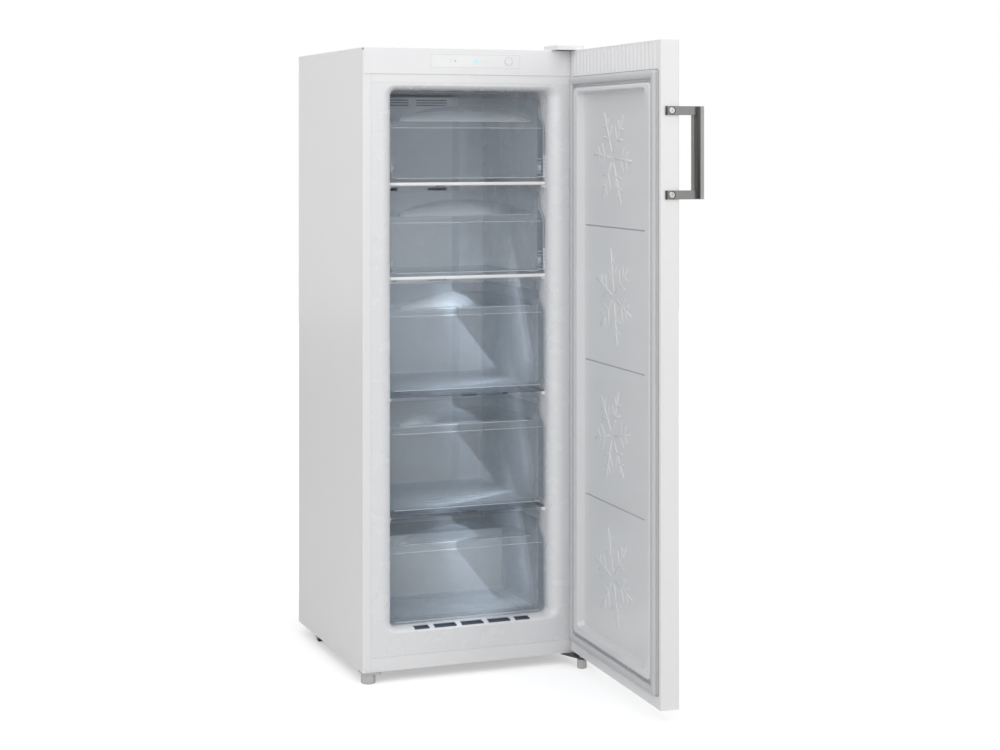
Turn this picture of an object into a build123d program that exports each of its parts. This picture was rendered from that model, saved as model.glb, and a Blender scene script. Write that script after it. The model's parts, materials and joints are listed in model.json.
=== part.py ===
from build123d import *
import math
import os

# An upright freezer with two bottom-hinged flaps, three drawers and a right-hinged door,
# modelled with the door standing open. Sizes are millimetres.
# X runs to the right seen from the front, Y to the back, Z up. The origin is on the floor,
# at mid-width, under the plane of the cabinet's front flanges.

# Cabinet casing
CABINET_WIDTH = 540.0
CABINET_DEPTH = 538.0
CABINET_BOTTOM = 25.0
CABINET_TOP = 1455.0
SHEET = 0.8
FRONT_FLANGE = 19.6
BACK_FLANGE = 16.0
HEM_DEPTH = 4.0
BEND_RADIUS = 2.0
TOP_PANEL_THICKNESS = 6.0
TOP_PANEL_FRONT = 12.0
TOP_SKIRT_DEPTH = 8.0
TOP_SKIRT_WALL = 3.0
TOP_EDGE_RADIUS = 2.0
TOP_FIELD_INSET = 14.0
TOP_FIELD_FRONT = 70.0
TOP_FIELD_RISE = 1.5
FACE_GAP = 0.3

# Front face, from the floor up
KICK_TOP = 57.0
KICK_THICKNESS = 1.2
KICK_RETURN = 12.0
CROSS_RAIL_BOTTOM = 1375.0
FASCIA_BOTTOM = 1394.0
FASCIA_PROUD = 2.0
FASCIA_END_INSET = 2.0
FASCIA_ROUND = 1.5
FASCIA_LIP = 3.0
HOUSING_DEPTH = 45.0
HOUSING_WALL = 2.0

# Inner liner and the space in it
LINER_WALL = 2.0
SIDE_THICKNESS = 73.0
INSIDE_FLOOR = 119.0
INSIDE_CEILING = 1359.0
BACK_THICKNESS = 85.0
INSIDE_CORNER = 14.0
FLARE_DEPTH = 28.0
FLARE_SIDE = 28.0
FLARE_ENDS = 11.0
FLARE_SECTIONS = 6
HUMP_DEPTH = 161.0
HUMP_LEAN = 26.0
HUMP_TOP = 268.0
DUCT_WIDTH = 224.0
DUCT_BOTTOM = 600.0
DUCT_TOP = 1334.0
DUCT_DEPTH = 44.0
AIR_SLOTS = [36.0, 54.0, 54.0, 54.0, 36.0]
AIR_SLOT_GAP = 13.0
AIR_SLOT_FRONT = 3.0
AIR_SLOT_BACK = 25.0
AIR_SLOT_DEPTH = 22.0
AIR_SLOT_WALL = 1.5

# Machine space at the bottom of the back
SHROUD_SHEET = 1.0
MACHINE_DEPTH = 188.0
MACHINE_LEAN = 30.0
MACHINE_TOP = 214.0
BACK_PANEL_BOTTOM = 222.0
BACK_PANEL_INSET = 8.0
BACK_RIB_WIDTH = 30.0
BACK_RIB_HEIGHT = 2.0

# Base
RAIL_WIDTH = 44.0
RAIL_SHEET = 1.5
RAIL_FRONT = 4.5
RAIL_BACK_INSET = 4.0
ROLLER_RADIUS = 16.0
ROLLER_WIDTH = 15.0
ROLLER_INSET = 23.0
ROLLER_FROM_BACK = 120.0
ROLLER_GAP = 1.0
ROLLER_WELL_GAP = 4.0
EAR_THICKNESS = 2.0
EAR_LENGTH = 22.0
AXLE_RADIUS = 3.0
RUNNING_CLEARANCE = 0.05
FOOT_INSET = 16.0
FOOT_LEFT_Y = 10.0
FOOT_RIGHT_Y = -50.0
FOOT_LEFT_WIDTH = 31.0
FOOT_RIGHT_WIDTH = 21.0
FOOT_FACETS = 8
STUD_RADIUS = 5.0
STUD_LEFT_TOP = 44.0
STUD_RIGHT_TOP = 32.0
FOOT_PLATE = 3.5

# Shelves, numbered from the top: height of the glass's upper face
SHELF_TOPS = [1142.0, 923.0, 648.0, 372.0]
TRIMMED_SHELVES = 2
GLASS = 4.0
SHELF_FRONT = 40.0
SHELF_BACK_GAP = 23.0
SHELF_SIDE_GAP = 1.2
TRIM_FRONT = 34.0
TRIM_HEIGHT = 8.0
TRIM_LAP = 8.0
LEDGE_WIDTH = 8.0
LEDGE_HEIGHT = 8.0

# Flap and drawer fronts
FRONT_Y = 35.0
FRONT_WALL = 2.4
FRONT_SETBACK = 30.0
FRONT_RETURN = 35.0
FRONT_CORNER = 11.0
SHOULDER_TOP = 26.0
SHOULDER_DROP = 52.0
SCOOP_LEDGE = 56.0
SCOOP_HALF_WIDTH = 170.0
SCOOP_HEIGHT = 42.0
SCOOP_DEPTH = 44.0
SCOOP_INSET = 7.0
FLAP_SIDE_GAP = 5.3
DRAWER_SIDE_GAP = 3.0
FLAPS = {"flap_1": (1153.0, 1343.0), "flap_2": (932.5, 1122.0)}
DRAWER_FRONTS = {"drawer_3": (660.0, 905.0), "drawer_4": (383.0, 632.0), "drawer_5": (124.0, 357.0)}
PIVOT_ABOVE_EDGE = 24.0
PIVOT_Y = 52.0
PIVOT_RADIUS = 4.0
PIVOT_LENGTH = 10.0
PIVOT_BOSS_RADIUS = 8.0
PIVOT_BOSS_LENGTH = 7.0
BRACKET_HEIGHT = 54.0
BRACKET_DEPTH = 22.0
BRACKET_GAP = 0.5

# Drawer tubs behind the fronts
TUB_INSET = 8.0
TUB_WALL = 2.0
TUB_TAPER = 0.8
TUB_CORNER = 16.0
TUB_BACK_GAP = 28.0
TUB_BELOW_FRONT = 22.0
TUB_RIM = 4.0
RUNNER_HEIGHT = 6.0
RUNNER_WIDTH = 4.0
RUNNER_SPAN = 300.0
RUNNER_START = 90.0
SEAT_GAP = 0.3
STEP_GAP = 8.0
RIB_HEIGHT = 1.5
RIB_WIDTH = 3.0
RIB_COUNT = 9

# Cold air parts behind the back cover
COVER_WIDTH = 262.0
COVER_FLAT = 214.0
COVER_DEPTH = 16.0
COVER_WALL = 2.5
COVER_BOTTOM = 272.0
COVER_TOP = 1352.0
LOUVRE_INNER = 10.0
LOUVRE_OUTER = 92.0
LOUVRE_HEIGHT = 3.2
LOUVRE_PITCH = 6.4
LOUVRE_TOP = 1346.0
LOUVRE_ROWS = 3
VENT_HEIGHTS = [1119.0, 890.0, 622.0, 330.0]
VENT_INNER = 40.0
VENT_OUTER = 92.0
VENT_HEIGHT = 7.0
COIL_WIDTH = 200.0
COIL_BOTTOM = 640.0
COIL_TOP = 1100.0
COIL_GAP = 4.0
COIL_PASSES = 8
COIL_TUBE = 4.0
FIN_GAPS = 15
FIN_GAP_WIDTH = 5.0
FAN_Z = 1262.0
FAN_RADIUS = 48.0
FAN_GAP = 7.0
FAN_THICKNESS = 14.0
FAN_HUB = 15.0
FAN_BLADES = 5
FAN_SHAFT = 2.0
MOTOR_RADIUS = 22.0
MOTOR_GAP = 2.0

# Compressor and what is round it
TRAY_FRONT_GAP = 16.0
TRAY_BACK_INSET = 8.0
TRAY_LAP = 10.8
TRAY_SHEET = 2.0
TRAY_LIP = 10.0
COMPRESSOR_X = -70.0
COMPRESSOR_FROM_BACK = 96.0
COMPRESSOR_RADIUS = 62.0
COMPRESSOR_BOTTOM = 44.0
COMPRESSOR_TOP = 188.0
DOME = 26.0
SEAM_WIDTH = 2.5
SEAM_HEIGHT = 6.0
FOOT_BAR_LENGTH = 190.0
FOOT_BAR_WIDTH = 24.0
FOOT_BAR_SHEET = 3.0
MOUNT_RADIUS = 9.0
DRIP_TRAY_LENGTH = 176.0
DRIP_TRAY_DEPTH = 110.0
DRIP_TRAY_HEIGHT = 20.0
DRIP_TRAY_WALL = 1.8
TERMINAL_LENGTH = 34.0
TERMINAL_DEPTH = 60.0
TERMINAL_BOTTOM = 78.0
TERMINAL_TOP = 142.0
GLAND_RADIUS = 8.0
GLAND_BORE = 4.5
GLAND_LENGTH = 10.0
DRIER_X = 150.0
DRIER_FROM_BACK = 58.0
DRIER_RADIUS = 9.0
DRIER_BOTTOM = 84.0
DRIER_TOP = 172.0
PIPE_RADIUS = 3.2
PIPE_BEND = 12.0

# Controls, places along the fascia
WINDOW_LEFT = -106.0
WINDOW_RIGHT = 116.0
WINDOW_BOTTOM = 1410.8
WINDOW_TOP = 1441.2
WINDOW_THICKNESS = 1.0
BUTTON_X = 87.0
BUTTON_Z = 1427.0
BUTTON_RADIUS = 9.0
BUTTON_PROUD = 0.8
BUTTON_FLANGE = 11.0
BUTTON_TRAVEL = 1.0
BOARD_Y = 8.0
BOARD_THICKNESS = 1.6
POST_RADIUS = 3.0

# Door, all in its closed place
DOOR_BOTTOM = 33.0
DOOR_TOP = 1454.5
DOOR_INNER_Y = -12.0
DOOR_THICKNESS = 43.0
DOOR_EDGE_RADIUS = 3.0
DOOR_RETURN = 12.0
CAP_HEIGHT = 8.0
BAND_THICKNESS = 4.0
BAND_BOTTOM = 1392.0
BOTTOM_BAND_TOP = 60.0
FLUTE_PITCH = 22.0
FLUTE_WIDTH = 15.0
FLUTE_DEPTH = 1.8
GASKET_WIDTH = 18.0
GASKET_THICKNESS = 11.5
GASKET_INSET = 13.0
GASKET_BOTTOM = 61.0
GASKET_TOP = 1391.0
GASKET_CORNER = 6.0
GASKET_ROUND = 3.0
BORDER_GAP = 5.0
BORDER_PROUD = 10.0
BORDER_WIDTH = 27.0
BORDER_BOTTOM_WIDTH = 21.0
BORDER_TOP_WIDTH = 12.0
BORDER_CORNER = 18.0
BORDER_TAPER = 22.0
RECESS_DEPTH = 18.0
RECESS_TAPER = 14.0
LINER_ROUND = 3.5
DOOR_GROOVES = [1044.0, 731.0, 417.0]
GROOVE_WIDTH = 5.0
GROOVE_DEPTH = 1.1
GROOVE_END_GAP = 12.0

# Hinges
HINGE_INSET = 15.0
HINGE_Y = -23.0
DOOR_OPEN_DEG = 87.0
HINGE_PIN = 4.0
BUSH_RADIUS = 6.5
BUSH_LENGTH = 16.0
HINGE_PLATE = 3.0
HINGE_SCREW_HEAD = 5.5
HINGE_SCREW_HEIGHT = 3.0
HINGE_COVER_INSET = 4.0
HINGE_COVER_WIDTH = 69.0
COVER_FRONT = -38.0
COVER_REAR = 50.0
COVER_HEIGHT = 12.0
COVER_SHELL = 1.6
COLLAR_RADIUS = 8.0

# Bar handle on the door's free side
HANDLE_SCREWS_Z = (1125.0, 1304.0)
HANDLE_BRACKET_HEIGHT = 19.0
HANDLE_BRACKET_THICKNESS = 3.5
HANDLE_BRACKET_INSET = 10.0
HANDLE_SCREW_INSET = 24.4
HANDLE_GAP = 31.5
HANDLE_DEPTH = 22.0
HANDLE_SEAT = 9.0
HANDLE_BACK = 10.0
HANDLE_RISE = 9.0
HANDLE_SLOPE_END = 17.0
HANDLE_ROUND = 1.2
HANDLE_OVERHANG = 9.5
HANDLE_SCREW_HEAD = 7.0
HANDLE_SCREW_HEIGHT = 1.8
HANDLE_SCREW_SHANK = 2.5
HANDLE_SCREW_LENGTH = 18.0
SCREW_CLEARANCE = 0.1

# Back panel screws
BACK_SCREW_HEAD = 4.0
BACK_SCREW_SHANK = 1.8
BACK_SCREW_HEIGHT = 1.8
BACK_SCREW_HEIGHTS = [250.0, 640.0, 1030.0, 1420.0]

# Values that follow from the ones above
HALF_WIDTH = CABINET_WIDTH / 2
INSIDE_WIDTH = CABINET_WIDTH - 2 * SIDE_THICKNESS
INSIDE_BACK = CABINET_DEPTH - BACK_THICKNESS
HUMP_FRONT = INSIDE_BACK - HUMP_DEPTH
DUCT_BACK = INSIDE_BACK + DUCT_DEPTH
SHELF_BACK = INSIDE_BACK - SHELF_BACK_GAP
MACHINE_FRONT = CABINET_DEPTH - MACHINE_DEPTH
MACHINE_FLOOR_END = MACHINE_FRONT - MACHINE_LEAN
RAIL_BACK = CABINET_DEPTH - RAIL_BACK_INSET
INNER_HALF = HALF_WIDTH - SHEET
FACE_HALF = HALF_WIDTH - FRONT_FLANGE - FACE_GAP
PANEL_TOP = CABINET_TOP - TOP_PANEL_THICKNESS
INSIDE_HALF = INSIDE_WIDTH / 2
INSIDE_MID = (INSIDE_FLOOR + INSIDE_CEILING) / 2
INSIDE_HEIGHT = INSIDE_CEILING - INSIDE_FLOOR
FOAM_TOP = PANEL_TOP - TOP_SKIRT_DEPTH
RAIL_INNER = INNER_HALF - RAIL_WIDTH
DOOR_HALF = HALF_WIDTH
GASKET_HALF_WIDTH = DOOR_HALF - GASKET_INSET
ROLLER_X = HALF_WIDTH - ROLLER_INSET
ROLLER_Y = CABINET_DEPTH - ROLLER_FROM_BACK
FOOT_X = HALF_WIDTH - FOOT_INSET
HINGE_X = HALF_WIDTH - HINGE_INSET
COVER_RIGHT = HALF_WIDTH - HINGE_COVER_INSET
COVER_LEFT = COVER_RIGHT - HINGE_COVER_WIDTH
FLAP_WIDTH = INSIDE_WIDTH - 2 * FLAP_SIDE_GAP
DRAWER_WIDTH = INSIDE_WIDTH - 2 * DRAWER_SIDE_GAP
TUB_WIDTH = DRAWER_WIDTH - 2 * TUB_INSET
TUB_BACK = INSIDE_BACK - TUB_BACK_GAP
COIL_FRONT = INSIDE_BACK + COIL_GAP
FAN_FRONT = INSIDE_BACK + FAN_GAP
TRAY_FRONT = MACHINE_FRONT + TRAY_FRONT_GAP
TRAY_BACK = CABINET_DEPTH - TRAY_BACK_INSET
TRAY_HALF_WIDTH = INNER_HALF - RAIL_WIDTH + TRAY_LAP
COMPRESSOR_Y = CABINET_DEPTH - COMPRESSOR_FROM_BACK
DRIER_Y = CABINET_DEPTH - DRIER_FROM_BACK
SHOULDER_RADIUS = (FRONT_SETBACK**2 + SHOULDER_DROP**2) / (4 * FRONT_SETBACK)
SHOULDER_TURN = 2 * math.atan2(FRONT_SETBACK, SHOULDER_DROP)
DOOR_OUTER_Y = DOOR_INNER_Y - DOOR_THICKNESS
SHELL_BOTTOM = DOOR_BOTTOM + CAP_HEIGHT
SHELL_TOP = DOOR_TOP - CAP_HEIGHT
PANE_HALF = DOOR_HALF - DOOR_RETURN - FACE_GAP
FOOT_TOP = CABINET_BOTTOM - FOOT_PLATE - FACE_GAP
BUTTON_HOLE = BUTTON_RADIUS + FACE_GAP
BOARD_TOP = FOAM_TOP - HOUSING_WALL - 2 * FACE_GAP


def block(x, y, z):
    """A box between two limits on each axis."""
    middle = [(low + high) / 2 for low, high in (x, y, z)]
    return Pos(*middle) * Box(x[1] - x[0], y[1] - y[0], z[1] - z[0])


def rod(start, end, radius):
    """A round bar from one point to another."""
    line = Vector(*end) - Vector(*start)
    middle = (Vector(*end) + Vector(*start)) * 0.5
    return Plane(origin=middle, z_dir=line) * Cylinder(radius, line.length)


def upright(x, y, z, radius):
    """A round bar along Z between two heights."""
    return rod((x, y, z[0]), (x, y, z[1]), radius)


def twin(shape):
    """A shape and its mirror image across the middle of the cabinet."""
    return shape + mirror(shape, about=Plane.YZ)


def across(points, half_width):
    """A closed side outline of (y, z) points, carried across the cabinet."""
    outline = make_face(Plane.YZ * Polyline(*points, close=True))
    return extrude(outline, amount=half_width, both=True)


def plan(points, z):
    """A closed plan outline of (x, y) points, carried up between two heights."""
    outline = make_face(Polyline(*points, close=True))
    return Pos(0, 0, z[0]) * extrude(outline, amount=z[1] - z[0])


def facing(y, z):
    """A plane that faces along Y at a given depth and height."""
    return Plane(origin=(0, y, z), x_dir=(1, 0, 0), z_dir=(0, 1, 0))


def along(shape, axis):
    """The straight edges of a shape that run along an axis."""
    return shape.edges().filter_by(axis)


# ---------------------------------------------------------------- casing


def side_panel():
    """The right side's folded sheet, with its front flange, hem and back flange."""
    height = (CABINET_BOTTOM, PANEL_TOP)
    edge = HALF_WIDTH - FRONT_FLANGE
    panel = block((INNER_HALF, HALF_WIDTH), (0, CABINET_DEPTH), height)
    panel += block((edge, HALF_WIDTH), (0, SHEET), height)
    panel += block((edge, edge + SHEET), (0, HEM_DEPTH), height)
    back = (CABINET_DEPTH - SHEET, CABINET_DEPTH)
    panel += block((HALF_WIDTH - BACK_FLANGE, HALF_WIDTH), back, height)
    outer = along(panel, Axis.Z).sort_by(Axis.X)[-2:]
    return fillet(outer, BEND_RADIUS)


def top_panel():
    """The moulded top with a raised field and a skirt that drops inside the side sheets."""
    plate = block((-HALF_WIDTH, HALF_WIDTH), (TOP_PANEL_FRONT, CABINET_DEPTH), (PANEL_TOP, CABINET_TOP))
    rim = plate.faces().sort_by(Axis.Z)[-1].edges()
    plate = fillet(rim.sort_by(Axis.Y)[1:], TOP_EDGE_RADIUS)
    skirt_half = INNER_HALF - FACE_GAP
    skirt_y = (HOUSING_DEPTH + TOP_PANEL_FRONT, CABINET_DEPTH - SHEET - FACE_GAP)
    skirt = block((-skirt_half, skirt_half), skirt_y, (FOAM_TOP, PANEL_TOP))
    inner = skirt_half - TOP_SKIRT_WALL
    hollow = block(
        (-inner, inner),
        (skirt_y[0] + TOP_SKIRT_WALL, skirt_y[1] - TOP_SKIRT_WALL),
        (FOAM_TOP, PANEL_TOP),
    )
    field_half = HALF_WIDTH - TOP_FIELD_INSET
    field = block(
        (-field_half, field_half),
        (TOP_FIELD_FRONT, CABINET_DEPTH - TOP_FIELD_INSET),
        (CABINET_TOP, CABINET_TOP + TOP_FIELD_RISE),
    )
    field = chamfer(field.faces().sort_by(Axis.Z)[-1].edges(), TOP_FIELD_RISE * 0.8)
    return plate + (skirt - hollow) + field


def back_screw_places():
    """The x and z of each screw that holds the back panel to the flanges."""
    x = HALF_WIDTH - BACK_FLANGE / 2
    return [(side * x, z) for z in BACK_SCREW_HEIGHTS for side in (-1, 1)]


def back_panel():
    """The flat back sheet with two pressed ribs."""
    half = HALF_WIDTH - BACK_PANEL_INSET / 2
    y = (CABINET_DEPTH, CABINET_DEPTH + SHEET)
    z = (BACK_PANEL_BOTTOM, PANEL_TOP - BACK_PANEL_INSET)
    panel = block((-half, half), y, z)
    rib_z = (z[0] + 3 * BACK_RIB_WIDTH, z[1] - 3 * BACK_RIB_WIDTH)
    rib = block((4 * BACK_RIB_WIDTH, 5 * BACK_RIB_WIDTH), (y[1], y[1] + BACK_RIB_HEIGHT), rib_z)
    rib = chamfer(rib.faces().sort_by(Axis.Y)[-1].edges(), BACK_RIB_HEIGHT * 0.9)
    panel += twin(rib)
    for x, height in back_screw_places():
        panel -= rod((x, y[0], height), (x, y[1], height), BACK_SCREW_SHANK + SCREW_CLEARANCE)
    return panel


def back_panel_screws():
    """Round-headed screws on the back panel."""
    screws = []
    for x, z in back_screw_places():
        face = CABINET_DEPTH + SHEET
        head = rod((x, face, z), (x, face + BACK_SCREW_HEIGHT, z), BACK_SCREW_HEAD)
        head = chamfer(head.faces().sort_by(Axis.Y)[-1].edges(), BACK_SCREW_HEIGHT * 0.6)
        screws.append(head + rod((x, CABINET_DEPTH, z), (x, face, z), BACK_SCREW_SHANK))
    return Compound(screws)


def machine_line(shift):
    """The side outline under the foam: low floor, leaning wall and raised roof."""
    floor = KICK_TOP + shift
    roof = MACHINE_TOP + shift
    end = CABINET_DEPTH - SHEET
    return [(LINER_WALL, floor), (MACHINE_FLOOR_END - shift, floor), (MACHINE_FRONT - shift, roof), (end, roof)]


def under_line(shift):
    """Everything below the machine line."""
    points = machine_line(shift)
    return across(points + [(points[-1][0], 0), (points[0][0], 0)], INNER_HALF)


def base_shroud():
    """The sheet that carries the foam over the machine space."""
    sheet = under_line(SHROUD_SHEET) - under_line(0)
    return sheet - block((-HALF_WIDTH, HALF_WIDTH), (0, HEM_DEPTH), (0, CABINET_TOP))


def kick_plate():
    """The strip under the liner, folded back along its lower edge."""
    half = (-FACE_HALF, FACE_HALF)
    plate = block(half, (0, KICK_THICKNESS), (CABINET_BOTTOM, KICK_TOP - FACE_GAP))
    lip_z = (CABINET_BOTTOM, CABINET_BOTTOM + KICK_THICKNESS)
    inner = RAIL_INNER - FACE_GAP
    return plate + block((-inner, inner), (0, KICK_RETURN), lip_z)


def cross_rail():
    """The flat rail between the liner and the control fascia."""
    rail = block((-FACE_HALF, FACE_HALF), (0, LINER_WALL), (CROSS_RAIL_BOTTOM + FACE_GAP, FASCIA_BOTTOM))
    return rail


# ---------------------------------------------------------------- liner and foam


def mouth_section(turn, wall):
    """One rounded outline of the flared opening, at an angle round the flare."""
    y = FLARE_DEPTH - (FLARE_DEPTH - wall) * math.sin(turn)
    side = FLARE_SIDE - (FLARE_SIDE - wall) * math.cos(turn)
    ends = FLARE_ENDS - (FLARE_ENDS - wall) * math.cos(turn)
    outline = RectangleRounded(
        INSIDE_WIDTH + 2 * side, INSIDE_HEIGHT + 2 * ends, INSIDE_CORNER + (side + ends) / 2
    )
    return facing(y, INSIDE_MID) * outline


def mouth(wall):
    """The flared opening, from the throat out to the front flange."""
    turns = [math.pi / 2 * i / (FLARE_SECTIONS - 1) for i in range(FLARE_SECTIONS)]
    sections = [mouth_section(turn, wall) for turn in turns]
    return loft(sections)


def hump(wall):
    """The raised step over the machine space, inside the liner."""
    front = HUMP_FRONT + wall
    top = HUMP_TOP - wall
    far = CABINET_DEPTH
    points = [(front, INSIDE_FLOOR - 50), (front, INSIDE_FLOOR), (front + HUMP_LEAN, top), (far, top)]
    return across(points + [(far, INSIDE_FLOOR - 50)], HALF_WIDTH)


def pocket(wall):
    """The whole inner space, grown outwards by a wall."""
    section = facing(FLARE_DEPTH, INSIDE_MID) * RectangleRounded(
        INSIDE_WIDTH + 2 * wall, INSIDE_HEIGHT + 2 * wall, INSIDE_CORNER + wall
    )
    space = extrude(section, amount=INSIDE_BACK + wall - FLARE_DEPTH)
    space -= hump(wall)
    half = DUCT_WIDTH / 2 + wall
    duct = block((-half, half), (INSIDE_BACK, DUCT_BACK + wall), (DUCT_BOTTOM - wall, DUCT_TOP + wall))
    return space + duct + mouth(wall)


def air_slots(wall):
    """The row of air slots in the sloped lip of the floor, grown by a wall."""
    total = sum(AIR_SLOTS) + AIR_SLOT_GAP * (len(AIR_SLOTS) - 1)
    left = -total / 2
    slots = []
    for width in AIR_SLOTS:
        x = (left - wall, left + width + wall)
        z = (INSIDE_FLOOR - AIR_SLOT_DEPTH - wall, INSIDE_FLOOR + FLARE_ENDS)
        slots.append(block(x, (AIR_SLOT_FRONT - wall, AIR_SLOT_BACK + wall), z))
        left += width + AIR_SLOT_GAP
    return slots


def shelf_ledges():
    """The ledges along the liner's walls that the glass shelves lie on."""
    ledges = []
    for top in SHELF_TOPS:
        under = top - GLASS
        ledge = block(
            (INSIDE_HALF - LEDGE_WIDTH, INSIDE_HALF + LINER_WALL / 2),
            (SHELF_FRONT, SHELF_BACK),
            (under - LEDGE_HEIGHT, under),
        )
        ledges.append(ledge)
    return ledges


def inner_liner():
    """The formed white liner: flange, flared opening, walls, hump, ledges and slot pans."""
    space = pocket(0)
    flange = block((-FACE_HALF, FACE_HALF), (0, LINER_WALL), (KICK_TOP, CROSS_RAIL_BOTTOM))
    liner = (flange - space) + (pocket(LINER_WALL) - space)
    for ledge in shelf_ledges():
        liner += twin(ledge)
    for pan, slot in zip(air_slots(AIR_SLOT_WALL), air_slots(0)):
        liner = liner + (pan - space) - slot
    return liner


def insulation_foam():
    """The foam between the casing and the liner."""
    end = CABINET_DEPTH - SHEET
    low = (CABINET_BOTTOM, FOAM_TOP)
    foam = block((-FACE_HALF, FACE_HALF), (LINER_WALL, end), low)
    foam += block((-INNER_HALF, INNER_HALF), (HEM_DEPTH, end), low)
    foam -= under_line(SHROUD_SHEET)
    foam -= block((-INNER_HALF, INNER_HALF), (0, HOUSING_DEPTH + HOUSING_WALL), (FASCIA_BOTTOM, FOAM_TOP))
    foam -= pocket(LINER_WALL)
    for pan in air_slots(AIR_SLOT_WALL):
        foam -= pan
    return foam


# ---------------------------------------------------------------- controls


def control_housing():
    """The fascia with its lens recess, top lip, rear box and board posts."""
    half = HALF_WIDTH - FASCIA_END_INSET
    plate = block((-half, half), (-FASCIA_PROUD, 0), (FASCIA_BOTTOM, CABINET_TOP))
    plate = fillet(plate.faces().sort_by(Axis.Y)[0].edges(), FASCIA_ROUND)
    lip_z = (CABINET_TOP - FASCIA_LIP, CABINET_TOP)
    plate += block((-half, half), (0, TOP_PANEL_FRONT - FACE_GAP), lip_z)
    box_half = FACE_HALF - FACE_GAP
    box_z = (FASCIA_BOTTOM + FACE_GAP, FOAM_TOP)
    box = block((-box_half, box_half), (0, HOUSING_DEPTH), box_z)
    inner = box_half - HOUSING_WALL
    hollow_z = (box_z[0] + HOUSING_WALL, box_z[1] - HOUSING_WALL)
    box -= block((-inner, inner), (0, HOUSING_DEPTH), hollow_z)
    plate += box
    for x, z in board_posts():
        plate += rod((x, 0, z), (x, BOARD_Y, z), POST_RADIUS)
    recess = window_plate(0)
    hole = rod((BUTTON_X, -FASCIA_PROUD, BUTTON_Z), (BUTTON_X, 0, BUTTON_Z), BUTTON_HOLE)
    return plate - recess - hole


def board_posts():
    """Where the four posts carry the display board."""
    inset = 3 * POST_RADIUS
    x = (WINDOW_LEFT + inset, WINDOW_RIGHT - inset)
    z = (WINDOW_BOTTOM + POST_RADIUS, BOARD_TOP - POST_RADIUS)
    return [(a, b) for a in x for b in z]


def window_plate(gap):
    """The lens plate's outline, shrunk by a gap."""
    y = (-FASCIA_PROUD, WINDOW_THICKNESS - FASCIA_PROUD)
    return block(
        (WINDOW_LEFT + gap, WINDOW_RIGHT - gap), y, (WINDOW_BOTTOM + gap, WINDOW_TOP - gap)
    )


def display_window():
    """The thin lens plate over the display, with the button's hole."""
    hole = rod((BUTTON_X, -FASCIA_PROUD, BUTTON_Z), (BUTTON_X, 0, BUTTON_Z), BUTTON_HOLE)
    return window_plate(FACE_GAP) - hole


def control_button():
    """The round push button with its stop flange."""
    front = -FASCIA_PROUD - BUTTON_PROUD
    back = BOARD_Y - BUTTON_TRAVEL - FACE_GAP
    stem = rod((BUTTON_X, front, BUTTON_Z), (BUTTON_X, back, BUTTON_Z), BUTTON_RADIUS)
    stem = chamfer(stem.faces().sort_by(Axis.Y)[0].edges(), BUTTON_PROUD / 2)
    flange = rod((BUTTON_X, FACE_GAP, BUTTON_Z), (BUTTON_X, WINDOW_THICKNESS * 2, BUTTON_Z), BUTTON_FLANGE)
    return stem + flange


def display_board():
    """The printed board with the display block behind the lens."""
    board = block(
        (WINDOW_LEFT, WINDOW_RIGHT), (BOARD_Y, BOARD_Y + BOARD_THICKNESS), (WINDOW_BOTTOM, BOARD_TOP)
    )
    middle = (WINDOW_BOTTOM + BOARD_TOP) / 2
    display = block((-14, 22), (FACE_GAP, BOARD_Y), (middle - 9, middle + 9))
    chip = block((-70, -50), (BOARD_Y + BOARD_THICKNESS, BOARD_Y + 5), (middle - 10, middle + 10))
    return board + display + chip


# ---------------------------------------------------------------- shelves, flaps, drawers


def shelf_glass(top):
    """One glass shelf, cut to lie on the liner's ledges."""
    half = INSIDE_HALF - SHELF_SIDE_GAP
    return block((-half, half), (SHELF_FRONT, SHELF_BACK), (top - GLASS, top))


def shelf_trim(top):
    """The glossy front strip that grips a shelf's front edge."""
    half = INSIDE_HALF - SHELF_SIDE_GAP
    middle = top - GLASS / 2
    z = (middle - TRIM_HEIGHT / 2, middle + TRIM_HEIGHT / 2)
    trim = block((-half, half), (TRIM_FRONT, SHELF_FRONT + TRIM_LAP), z)
    trim = fillet(along(trim, Axis.X).sort_by(Axis.Y)[:2], TRIM_HEIGHT / 3)
    trim -= block((-half, half), (SHELF_FRONT, SHELF_FRONT + TRIM_LAP), (top - GLASS, top))
    clear = half - LEDGE_WIDTH
    under = block((-half, half), (SHELF_FRONT, SHELF_FRONT + TRIM_LAP), (z[0], top - GLASS))
    return trim - (under - block((-clear, clear), (SHELF_FRONT, SHELF_FRONT + TRIM_LAP), (z[0], top - GLASS)))


def front_solid(low, top, width, wall):
    """The space behind a front's face, moved inwards by a wall."""
    y = FRONT_Y + wall
    step = y + FRONT_SETBACK
    back = FRONT_Y + FRONT_RETURN
    upper_end = top - SHOULDER_TOP
    lower_end = upper_end - SHOULDER_DROP
    convex, hollow = SHOULDER_RADIUS - wall, SHOULDER_RADIUS + wall
    bend_y = FRONT_Y + SHOULDER_RADIUS - convex * math.cos(SHOULDER_TURN)
    bend = (bend_y, lower_end + convex * math.sin(SHOULDER_TURN))
    start = (y, low + wall)
    lines = [Line(start, (y, lower_end))]
    lines += [RadiusArc(lines[-1] @ 1, bend, convex)]
    lines += [RadiusArc(bend, (step, upper_end), -hollow)]
    lines += [Polyline(lines[-1] @ 1, (step, top - wall), (back, top - wall), (back, low + wall), start)]
    outline = make_face(Plane.YZ * Curve(lines))
    body = extrude(outline, amount=width / 2 - wall, both=True)
    middle = (low + top) / 2
    mask = RectangleRounded(width - 2 * wall, top - low - 2 * wall, FRONT_CORNER - wall)
    return body & extrude(facing(0, middle) * mask, amount=back)


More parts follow.
